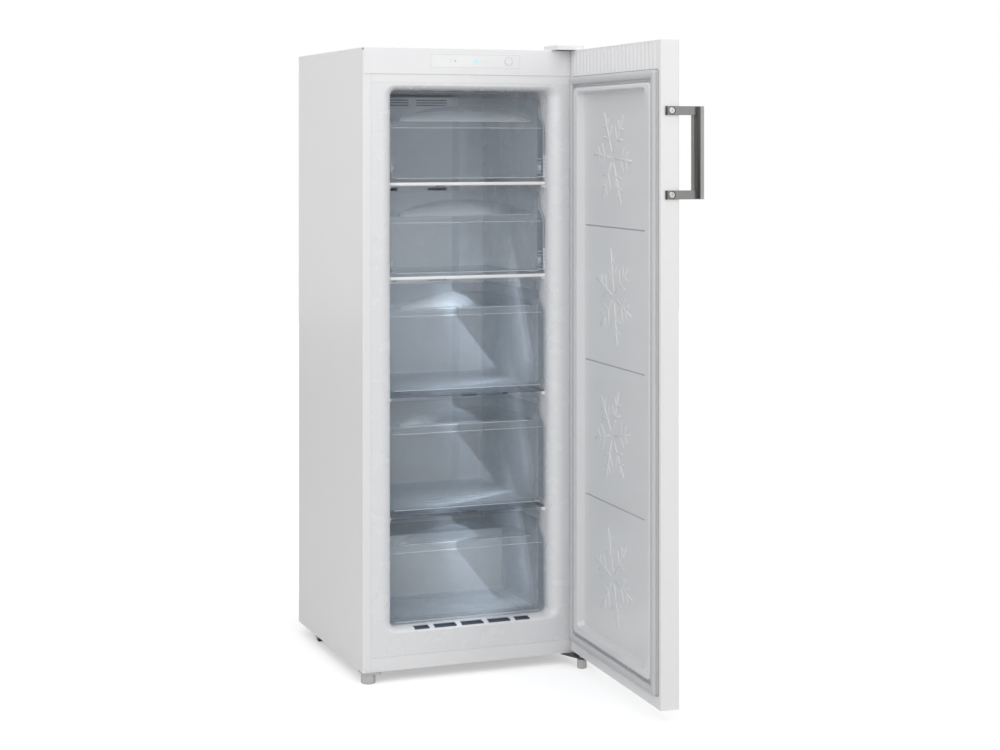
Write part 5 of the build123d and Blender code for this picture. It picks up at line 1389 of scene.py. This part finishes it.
@dataclass
class Storage:
    """The flaps and drawers."""

    drawers: tuple[str, ...] = ("drawer_3", "drawer_4", "drawer_5")
    heights: tuple[tuple[Body, float, float, float, str], ...] = (
        (Body.FLAP_1, 1153.0, 1343.0, 191.7, "front_plastic"),
        (Body.FLAP_2, 932.5, 1122.0, 191.7, "front_plastic"),
        (Body.DRAWER_3, 660.0, 905.0, 194.0, "front_plastic"),
        (Body.DRAWER_4, 383.0, 632.0, 194.0, "front_plastic"),
        (Body.DRAWER_5, 124.0, 357.0, 194.0, "front_plastic"),
    )
    face: float = 35.0
    setback: float = 30.0
    drop: float = 52.0
    above: float = 26.0

    def build(self, shop: Workshop, repeat: RepeatTree) -> None:
        """Dress the flaps and drawers.

        Args:
            shop: The workshop.
            repeat: The repeating trees; not used.
        """
        shop.dress(Paint.CLEAR_FLAP, "flap_1", "flap_2")
        shop.dress(Paint.CLEAR_FRONT, *[f"{name}_front" for name in self.drawers])
        shop.dress(Paint.CLEAR_TUB, *[f"{name}_tub" for name in self.drawers])
        reach = (165.0, 96.0, 10.0, -78.0, -128.0)
        for (body, low, top, half, slot), end in zip(self.heights, reach):
            self._edges(shop, body, (low, top), half, slot)
            self._glaze(shop, body, top, end, slot)
        for body, height in zip((Body.FLAP_1, Body.FLAP_2), FLAP_PIVOTS):
            self._pivot_caps(shop, body, height)

    def _face_at(self, down: float) -> float:
        """Where a front's face lies at a distance below its top edge.

        Args:
            down: Distance below the top edge in millimetres.

        Returns:
            The place along Y.
        """
        radius = (self.setback**2 + self.drop**2) / (4 * self.setback)
        low, high = self.above + self.drop, self.above
        if down >= low:
            return self.face
        if down <= high:
            return self.face + self.setback
        if low - down < self.drop / 2:
            return self.face + radius - math.sqrt(radius**2 - (low - down) ** 2)
        return self.face + self.setback - radius + math.sqrt(radius**2 - (down - high) ** 2)

    @staticmethod
    def _glaze(shop: Workshop, body: Body, top: float, end: float, slot: str) -> None:
        """Painted reflection: a bright sheen painted on the wall of a scoop, fading upwards and to one end.

        Args:
            shop: The workshop.
            body: The flap or drawer.
            top: Top edge of the front.
            end: Where the sheen ends along X.
            slot: Material slot of the record.
        """
        half, deep, high = 169.0, 43.4, 41.4
        work = bmesh.new()
        across, up = 48, 14
        grid: list[list[bmesh.types.BMVert]] = []
        fades: list[float] = []
        for i in range(across + 1):
            x = -half * math.cos(math.pi * i / across)
            share = math.sqrt(max(0.0, 1 - (x / half) ** 2))
            column = []
            for j in range(up + 1):
                angle = math.radians(84.0 * j / up)
                y = 42.0 + deep * share * math.cos(angle)
                column.append(work.verts.new((x, y, top - 55.9 + high * share * math.sin(angle))))
                along = min(1.0, max(0.0, (end + 24.0 - x) / 60.0))
                rise = 0.25 + 0.75 * max(0.0, 1 - j / up * 1.5) ** 1.2
                fades.append(along * rise * (1.0 if j < up else 0.3))
            grid.append(column)
        for first, second in zip(grid[1:-1], grid[2:-1]):
            for j in range(up):
                work.faces.new((first[j], first[j + 1], second[j + 1], second[j]))
        mesh = bpy.data.meshes.new(f"{body.value}_glaze")
        bmesh.ops.scale(work, vec=(MM, MM, MM), verts=work.verts)
        work.to_mesh(mesh)
        work.free()
        attribute = mesh.attributes.new("fade", "FLOAT", "POINT")
        attribute.data.foreach_set("value", fades)
        mesh.materials.append(shop.material(Paint.GLAZE))
        mesh.shade_smooth()
        shop.place(mesh, f"{body.value}_glaze", body, slot)

    @staticmethod
    def _pivot_caps(shop: Workshop, body: Body, height: float) -> None:
        """Caps with ribs round a flap's pivots, on its inner side, in the brackets' near-white finish with
        painted light.

        Args:
            shop: The workshop.
            body: The flap.
            height: Height of the pivots.
        """
        work = bmesh.new()
        for side in (-1, 1):
            profile = [(8.1, 0.0), (10.6, 0.0), (10.9, 0.8), (9.4, 5.6), (8.7, 6.9), (8.1, 6.9)]
            add_lathe(work, [(r, -side * h) for r, h in profile], (side * 189.0, 52.0, height), Axis.X, 28)
            ends = sorted((side * 188.9, side * 180.5))
            for low, high in ((-22.0, -19.6), (-13.4, -11.4), (12.0, 14.0), (19.6, 22.0)):
                add_block(work, (ends[0], ends[1]), (40.0, 60.0), (height + low, height + high), 0.3)
        mesh = finished(work, f"{body.value}_pivot_caps", shop.material(Paint.CLEAR_BRACKET))
        shop.place(mesh, f"{body.value}_pivot_caps", body, "front_plastic")

    def _edges(self, shop: Workshop, body: Body, z: Flat, half: float, slot: str) -> None:
        """Painted glints along one front's edges: bright strips on its ends, its lower lip and the scoop's
        lips.

        Args:
            shop: The workshop.
            body: The flap or drawer.
            z: Lowest and highest place of the front.
            half: Its half-width.
            slot: Material slot of the record.
        """
        low, top = z
        work = bmesh.new()
        levels = [14.0 + (top - low - 28.0) * i / 36 for i in range(37)]
        outer = [(self._face_at(down) - 0.1, top - down) for down in levels]
        inner = [(y + 1.3, height) for y, height in reversed(outer)]
        for side in (-1, 1):
            ends = sorted((side * (half + 0.05), side * (half - 1.1)))
            add_prism(work, outer + inner, Axis.X, ends[0], ends[1])
        depth = (self.face - 0.1, self.face + 1.4)
        add_block(work, (-half + 12, half - 12), depth, (low - 0.05, low + 1.5), 0.3)
        lip = self._face_at(56.0)
        add_block(work, (-160.0, 160.0), (lip - 0.6, lip + 1.0), (top - 57.0, top - 55.8), 0.3)
        edge = self._face_at(72.0)
        add_block(work, (-half + 6, half - 6), (edge - 0.25, edge + 0.8), (top - 72.6, top - 71.4), 0.2)
        mesh = finished(work, f"{body.value}_edges", shop.material(Paint.CLEAR_EDGE))
        shop.place(mesh, f"{body.value}_edges", body, slot)


@dataclass
class Door:
    """The door's sheets, seal, frost stars and handle."""

    seal_half: Flat = (257.0, 665.0)
    seal_middle: float = 726.0
    grooves: tuple[float, ...] = (1044.0, 731.0, 417.0)
    straps: Flat = (1125.0, 1304.0)
    stars: tuple[tuple[Flat, float, float], ...] = (
        ((24.0, 1202.0), 112.0, 4.0),
        ((16.0, 888.0), 108.0, 20.0),
        ((26.0, 574.0), 108.0, -9.0),
        ((18.0, 254.0), 112.0, 13.0),
    )

    def build(self, shop: Workshop, repeat: RepeatTree) -> None:
        """Dress the door and add its seal and handle details.

        Args:
            shop: The workshop.
            repeat: The repeating trees; not used.
        """
        shop.dress(Paint.WHITE_SHEET, "door_shell")
        shop.dress(Paint.WHITE_MOULDING, "door_top_cap", "door_bottom_cap")
        shop.dress(Paint.DOOR_LINER, "door_liner")
        shop.dress(Paint.SEAL, "door_gasket")
        shop.dress(Paint.DARK_MOULDING, "door_bushes")
        shop.dress(Paint.HANDLE, "handle_bar")
        shop.dress(Paint.STRAP, "handle_brackets")
        shop.dress(Paint.BRIGHT, "handle_screws")
        self._seal(shop)
        self._shade(shop)
        self._stars(shop)
        self._handle_lines(shop)

    def _shade(self, shop: Workshop) -> None:
        """Painted shade: dark lines for the shadow in the gap beside the seal and in the dividing grooves."""
        work = bmesh.new()
        flat = [(0.0, 0.2), (0.0, -0.35), (2.0, -0.35), (2.0, 0.2)]
        ring = [(distance, -height) for distance, height in flat]
        add_frame(work, (259.4, 667.4), (0.0, self.seal_middle), ring, DOOR_INNER_Y, 8.0)
        for z in self.grooves:
            add_block(work, (-194.0, 194.0), (-20.9, -20.1), (z - 0.4, z + 3.6), 0.2)
        mesh = swing_door(finished(work, "door_shade_lines", shop.material(Paint.SHADE_LINE)))
        shop.place(mesh, "door_shade_lines", Body.DOOR, "liner_plastic")

    def _stars(self, shop: Workshop) -> None:
        """A raised frost star in each of the four fields of the liner."""
        work = bmesh.new()
        for centre, size, turn in self.stars:
            for arm in range(6):
                angle = math.radians(turn + 60.0 * arm)
                way = Vector((math.cos(angle), math.sin(angle)))
                middle = Vector(centre)
                add_ridge(work, middle + way * 0.14 * size, middle + way * size, 7.0, (-20.4, -18.5))
                for place, length in ((0.42, 0.3), (0.68, 0.2)):
                    root = middle + way * place * size
                    for side in (-1, 1):
                        out = math.radians(turn + 60.0 * arm + 55.0 * side)
                        tip = root + Vector((math.cos(out), math.sin(out))) * length * size
                        add_ridge(work, root, tip, 5.5, (-20.4, -18.8))
        mesh = swing_door(finished(work, "frost_stars", shop.material(Paint.DOOR_LINER), 60.0))
        shop.place(mesh, "frost_stars", Body.DOOR, "liner_plastic")

    def _handle_lines(self, shop: Workshop) -> None:
        """The dark grip inlay along the bar and the dark ends of its straps."""
        work = bmesh.new()
        add_block(work, (-279.08, -278.7), (-99.0, -92.0), (1116.2, 1312.8), 0.1)
        for z in self.straps:
            add_block(work, (-273.7, -273.4), (-26.5, -22.2), (z - 9.2, z + 9.2), 0.1)
            ring = [(7.1, -0.3), (8.3, -0.3), (8.3, 0.2), (7.1, 0.2)]
            add_lathe(work, ring, (-273.5, -36.8, z), Axis.X, 36)
        mesh = swing_door(finished(work, "grip_inlay", shop.material(Paint.HANDLE_DARK)))
        shop.place(mesh, "grip_inlay", Body.DOOR, "handle_grey")

    def _seal(self, shop: Workshop) -> None:
        """The folded seal in place of its plain ring."""
        section = [(0.0, 0.0), (0.0, 2.4), (1.6, 3.4), (0.5, 4.8), (0.0, 7.0), (0.4, 9.6), (2.0, 11.3)]
        section += [(9.0, 11.5), (16.0, 11.3), (17.6, 9.6), (18.0, 7.0), (17.5, 4.8), (16.4, 3.4)]
        section += [(18.0, 2.4), (18.0, 0.0)]
        work = bmesh.new()
        add_frame(work, self.seal_half, (0.0, self.seal_middle), section, DOOR_INNER_Y, 6.0)
        mesh = swing_door(finished(work, "folded_seal", shop.material(Paint.SEAL), 50.0))
        piece = shop.place(mesh, "folded_seal", Body.DOOR, "seal_rubber")
        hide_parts("door_gasket")


@dataclass
class Underside:
    """Feet, rollers and the machine space."""

    foot_left: Point = (-254.0, 10.0, 0.0)
    foot_right: Point = (254.0, -50.0, 0.0)
    roller: Point = (247.0, 418.0, 16.0)

    def build(self, shop: Workshop, repeat: RepeatTree) -> None:
        """Dress the underside and add the feet's threads and ribs.

        Args:
            shop: The workshop.
            repeat: The repeating trees.
        """
        shop.dress(Paint.FOOT_MOULDING, "foot_left", "foot_right")
        shop.dress(Paint.DARK_MOULDING, "roller_left", "roller_right", "terminal_box")
        shop.dress(Paint.COMPRESSOR_BLACK, "compressor")
        shop.dress(Paint.DRIP_MOULDING, "drip_tray")
        shop.dress(Paint.BLACK_RUBBER, "compressor_mounts")
        shop.dress(Paint.COPPER, "refrigerant_pipes", "filter_drier")
        self._foot(shop, repeat, Body.FOOT_LEFT, self.foot_left, 15.5, 34.0)
        self._foot(shop, repeat, Body.FOOT_RIGHT, self.foot_right, 10.5, 30.0)
        self._roller(shop, repeat, Body.ROLLER_LEFT, -1)
        self._roller(shop, repeat, Body.ROLLER_RIGHT, 1)
        self._nuts(shop, repeat)

    @staticmethod
    def _foot(shop: Workshop, repeat: RepeatTree, body: Body, place: Point, flat: float, top: float) -> None:
        """Grip pads round a foot and the thread on its stud.

        Args:
            shop: The workshop.
            repeat: The repeating trees.
            body: The foot.
            place: Its middle on the floor.
            flat: Distance from its middle to a flat.
            top: Where the thread ends.
        """
        grey = shop.material(Paint.FOOT_MOULDING)
        pads = repeat.bake(
            repeat.ring,
            "pads",
            {"Count": 8, "Radius": (flat - 0.1) * MM, "Block": (0.0008, 0.0055, 0.0125), "Finish": grey},
        )
        moved(pads, (place[0], place[1], 10.6))
        name = f"{body.value}_pads"
        shop.place(joined([pads], name, grey), name, body, "foot_plastic")
        start, pitch = 21.6, 1.5
        values = {
            "Turns": (top - start) / pitch,
            "Radius": 0.0048,
            "Height": (top - start) * MM,
            "Wire": 0.00024,
            "Finish": grey,
        }
        thread = moved(repeat.bake(repeat.coil, "thread", values), (place[0], place[1], start))
        name = f"{body.value}_thread"
        shop.place(joined([thread], name, grey), name, body, "foot_plastic")

    def _roller(self, shop: Workshop, repeat: RepeatTree, body: Body, side: int) -> None:
        """Raised spokes on both sides of a roller.

        Args:
            shop: The workshop.
            repeat: The repeating trees.
            body: The roller.
            side: -1 for the left one, 1 for the right one.
        """
        dark = shop.material(Paint.DARK_MOULDING)
        rows = []
        for shift in (-7.55, 7.55):
            values = {"Count": 6, "Radius": 0.0088, "Block": (0.0084, 0.0014, 0.0006), "Finish": dark}
            spokes = repeat.bake(repeat.ring, "spokes", values)
            place = (side * self.roller[0] + shift, self.roller[1], self.roller[2])
            rows.append(moved(spokes, place, 90.0, Axis.Y))
        name = f"{body.value}_spokes"
        shop.place(joined(rows, name, dark), name, body, "dark_plastic")

    @staticmethod
    def _nuts(shop: Workshop, repeat: RepeatTree) -> None:
        """Screw heads on the compressor's four mounts."""
        low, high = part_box("compressor_mounts")
        inset = 9.0
        xs = (low[0] / MM + inset, high[0] / MM - inset)
        ys = (low[1] / MM + inset, high[1] / MM - inset)
        places = [(x, y, high[2] / MM - 0.05) for x in xs for y in ys]
        zinc = shop.material(Paint.ZINC)
        form = Fastener(5.0, 3.0).form(zinc)
        cloud = facing_points("nut_places", places, [(0.0, 0.0, 1.0)] * 4)
        mesh = repeat.bake(repeat.points, "mount_screws", {"Form": form, "Size": 1.0, "Finish": zinc}, cloud)
        shop.place(mesh, "mount_screws", Body.CABINET, "zinc_steel")


# ------------------------------------------------------------------ stage


@dataclass
class Studio:
    """Floor, backdrop, lights and camera."""

    eye: Point = (-1.642, -4.340, 1.2303)
    yaw: float = 0.375
    lens: float = 71.65
    shift: float = -0.2297
    inside: tuple[Flat, ...] = ((1.30, 0.03), (1.08, 0.04), (0.845, 0.5), (0.575, 0.3), (0.30, 0.38))
    inside_colour: Colour = (0.86, 0.93, 1.0)
    inside_size: float = 0.3

    def build(self) -> None:
        """Set the stage: studio lamps, and a hidden one of each (height, power) inside."""
        self._world()
        self._floor()
        self._lamp("key", (-2.6, -3.4, 2.9), (0.0, 0.1, 0.7), 3.0, 60.0)
        self._lamp("fill", (2.4, -3.6, 2.2), (0.1, 0.0, 0.7), 2.6, 26.0)
        self._lamp("top", (-0.2, -0.6, 3.4), (0.0, 0.2, 0.6), 2.4, 22.0)
        for number, (height, power) in enumerate(self.inside):
            target = (-0.08, 0.36, height - 0.12)
            glow = self._lamp(f"inside_{number}", (0.07, 0.10, height), target, self.inside_size, power)
            glow.data.color = self.inside_colour
            glow.visible_camera = False
            glow.visible_glossy = False
        self._camera()

    @staticmethod
    def _world() -> None:
        """A white surround for the camera and for reflections, softer for light."""
        world = bpy.data.worlds.new("studio")
        bpy.context.scene.world = world
        world.use_nodes = True
        tree = world.node_tree
        graph = Graph(tree)
        back = tree.nodes["Background"]
        back.inputs["Color"].default_value = (1.0, 1.0, 1.0, 1.0)
        path = graph.add("ShaderNodeLightPath")
        direct = graph.add("ShaderNodeMath", operation="MAXIMUM")
        seen = graph.add("ShaderNodeMath", operation="MAXIMUM")
        span = graph.add("ShaderNodeMapRange")
        span.inputs["To Min"].default_value = 0.55
        span.inputs["To Max"].default_value = 1.0
        graph.link(path.outputs["Is Camera Ray"], direct.inputs[0])
        graph.link(path.outputs["Is Transmission Ray"], direct.inputs[1])
        graph.link(direct.outputs[0], seen.inputs[0])
        graph.link(path.outputs["Is Glossy Ray"], seen.inputs[1])
        graph.link(seen.outputs[0], span.inputs["Value"])
        graph.link(span.outputs["Result"], back.inputs["Strength"])

    @staticmethod
    def _floor() -> None:
        """A wide pale floor that keeps the freezer's shadow."""
        work = bmesh.new()
        far_out = 9000.0
        outline = [(-far_out, -far_out), (far_out, -far_out), (far_out, far_out), (-far_out, far_out)]
        add_prism(work, outline, Axis.Z, -20.0, -0.2)
        made = bpy.data.materials.new("pale_floor")
        made.use_nodes = True
        graph = Graph(made.node_tree)
        shader = made.node_tree.nodes["Principled BSDF"]
        shader.inputs["Base Color"].default_value = (0.82, 0.82, 0.82, 1.0)
        shader.inputs["Roughness"].default_value = 0.7
        shader.inputs["Emission Color"].default_value = (1.0, 1.0, 1.0, 1.0)
        path = graph.add("ShaderNodeLightPath")
        glow = graph.add("ShaderNodeMath", operation="MULTIPLY")
        place = graph.add("ShaderNodeTexCoord")
        middle = graph.add("ShaderNodeVectorMath", operation="LENGTH")
        far = graph.add("ShaderNodeMapRange", interpolation_type="SMOOTHSTEP")
        far.inputs["From Min"].default_value = 0.55
        far.inputs["From Max"].default_value = 2.1
        far.inputs["To Min"].default_value = 0.42
        far.inputs["To Max"].default_value = 1.0
        graph.link(place.outputs["Object"], middle.inputs[0])
        graph.link(middle.outputs["Value"], far.inputs["Value"])
        graph.link(path.outputs["Is Camera Ray"], glow.inputs[0])
        graph.link(far.outputs["Result"], glow.inputs[1])
        graph.link(glow.outputs[0], shader.inputs["Emission Strength"])
        floor = bpy.data.objects.new("floor", finished(work, "floor", made))
        bpy.context.scene.collection.objects.link(floor)

    @staticmethod
    def _lamp(name: str, place: Point, target: Point, size: float, power: float) -> bpy.types.Object:
        """A large soft lamp.

        Args:
            name: Name of the lamp.
            place: Where it stands.
            target: What it points at.
            size: Its side length.
            power: Its power in watts.

        Returns:
            The lamp.
        """
        light = bpy.data.lights.new(name, "AREA")
        light.size = size
        light.energy = power
        lamp = bpy.data.objects.new(name, light)
        lamp.location = place
        lamp.rotation_euler = (Vector(target) - Vector(place)).to_track_quat("-Z", "Y").to_euler()
        bpy.context.scene.collection.objects.link(lamp)
        return lamp

    def _camera(self) -> None:
        """The camera at the photograph's place."""
        camera = bpy.data.cameras.new("camera")
        camera.lens = self.lens
        camera.sensor_width = 36.0
        camera.shift_y = self.shift
        holder = bpy.data.objects.new("camera", camera)
        holder.location = self.eye
        holder.rotation_euler = (math.pi / 2, 0.0, -self.yaw)
        bpy.context.scene.collection.objects.link(holder)
        bpy.context.scene.camera = holder
        bpy.context.scene.view_settings.view_transform = "Standard"


def main() -> None:
    """Build the freezer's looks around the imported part."""
    logging.basicConfig(level=logging.INFO, format="%(name)s: %(message)s")
    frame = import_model()
    shop = Workshop(frame)
    repeat = RepeatTree()
    for assembly in (Casing(), Fascia(), ColdSpace(), Storage(), Door(), Underside()):
        log.info("building %s", type(assembly).__name__)
        assembly.build(shop, repeat)
    Studio().build()


if __name__ == "__main__":
    main()
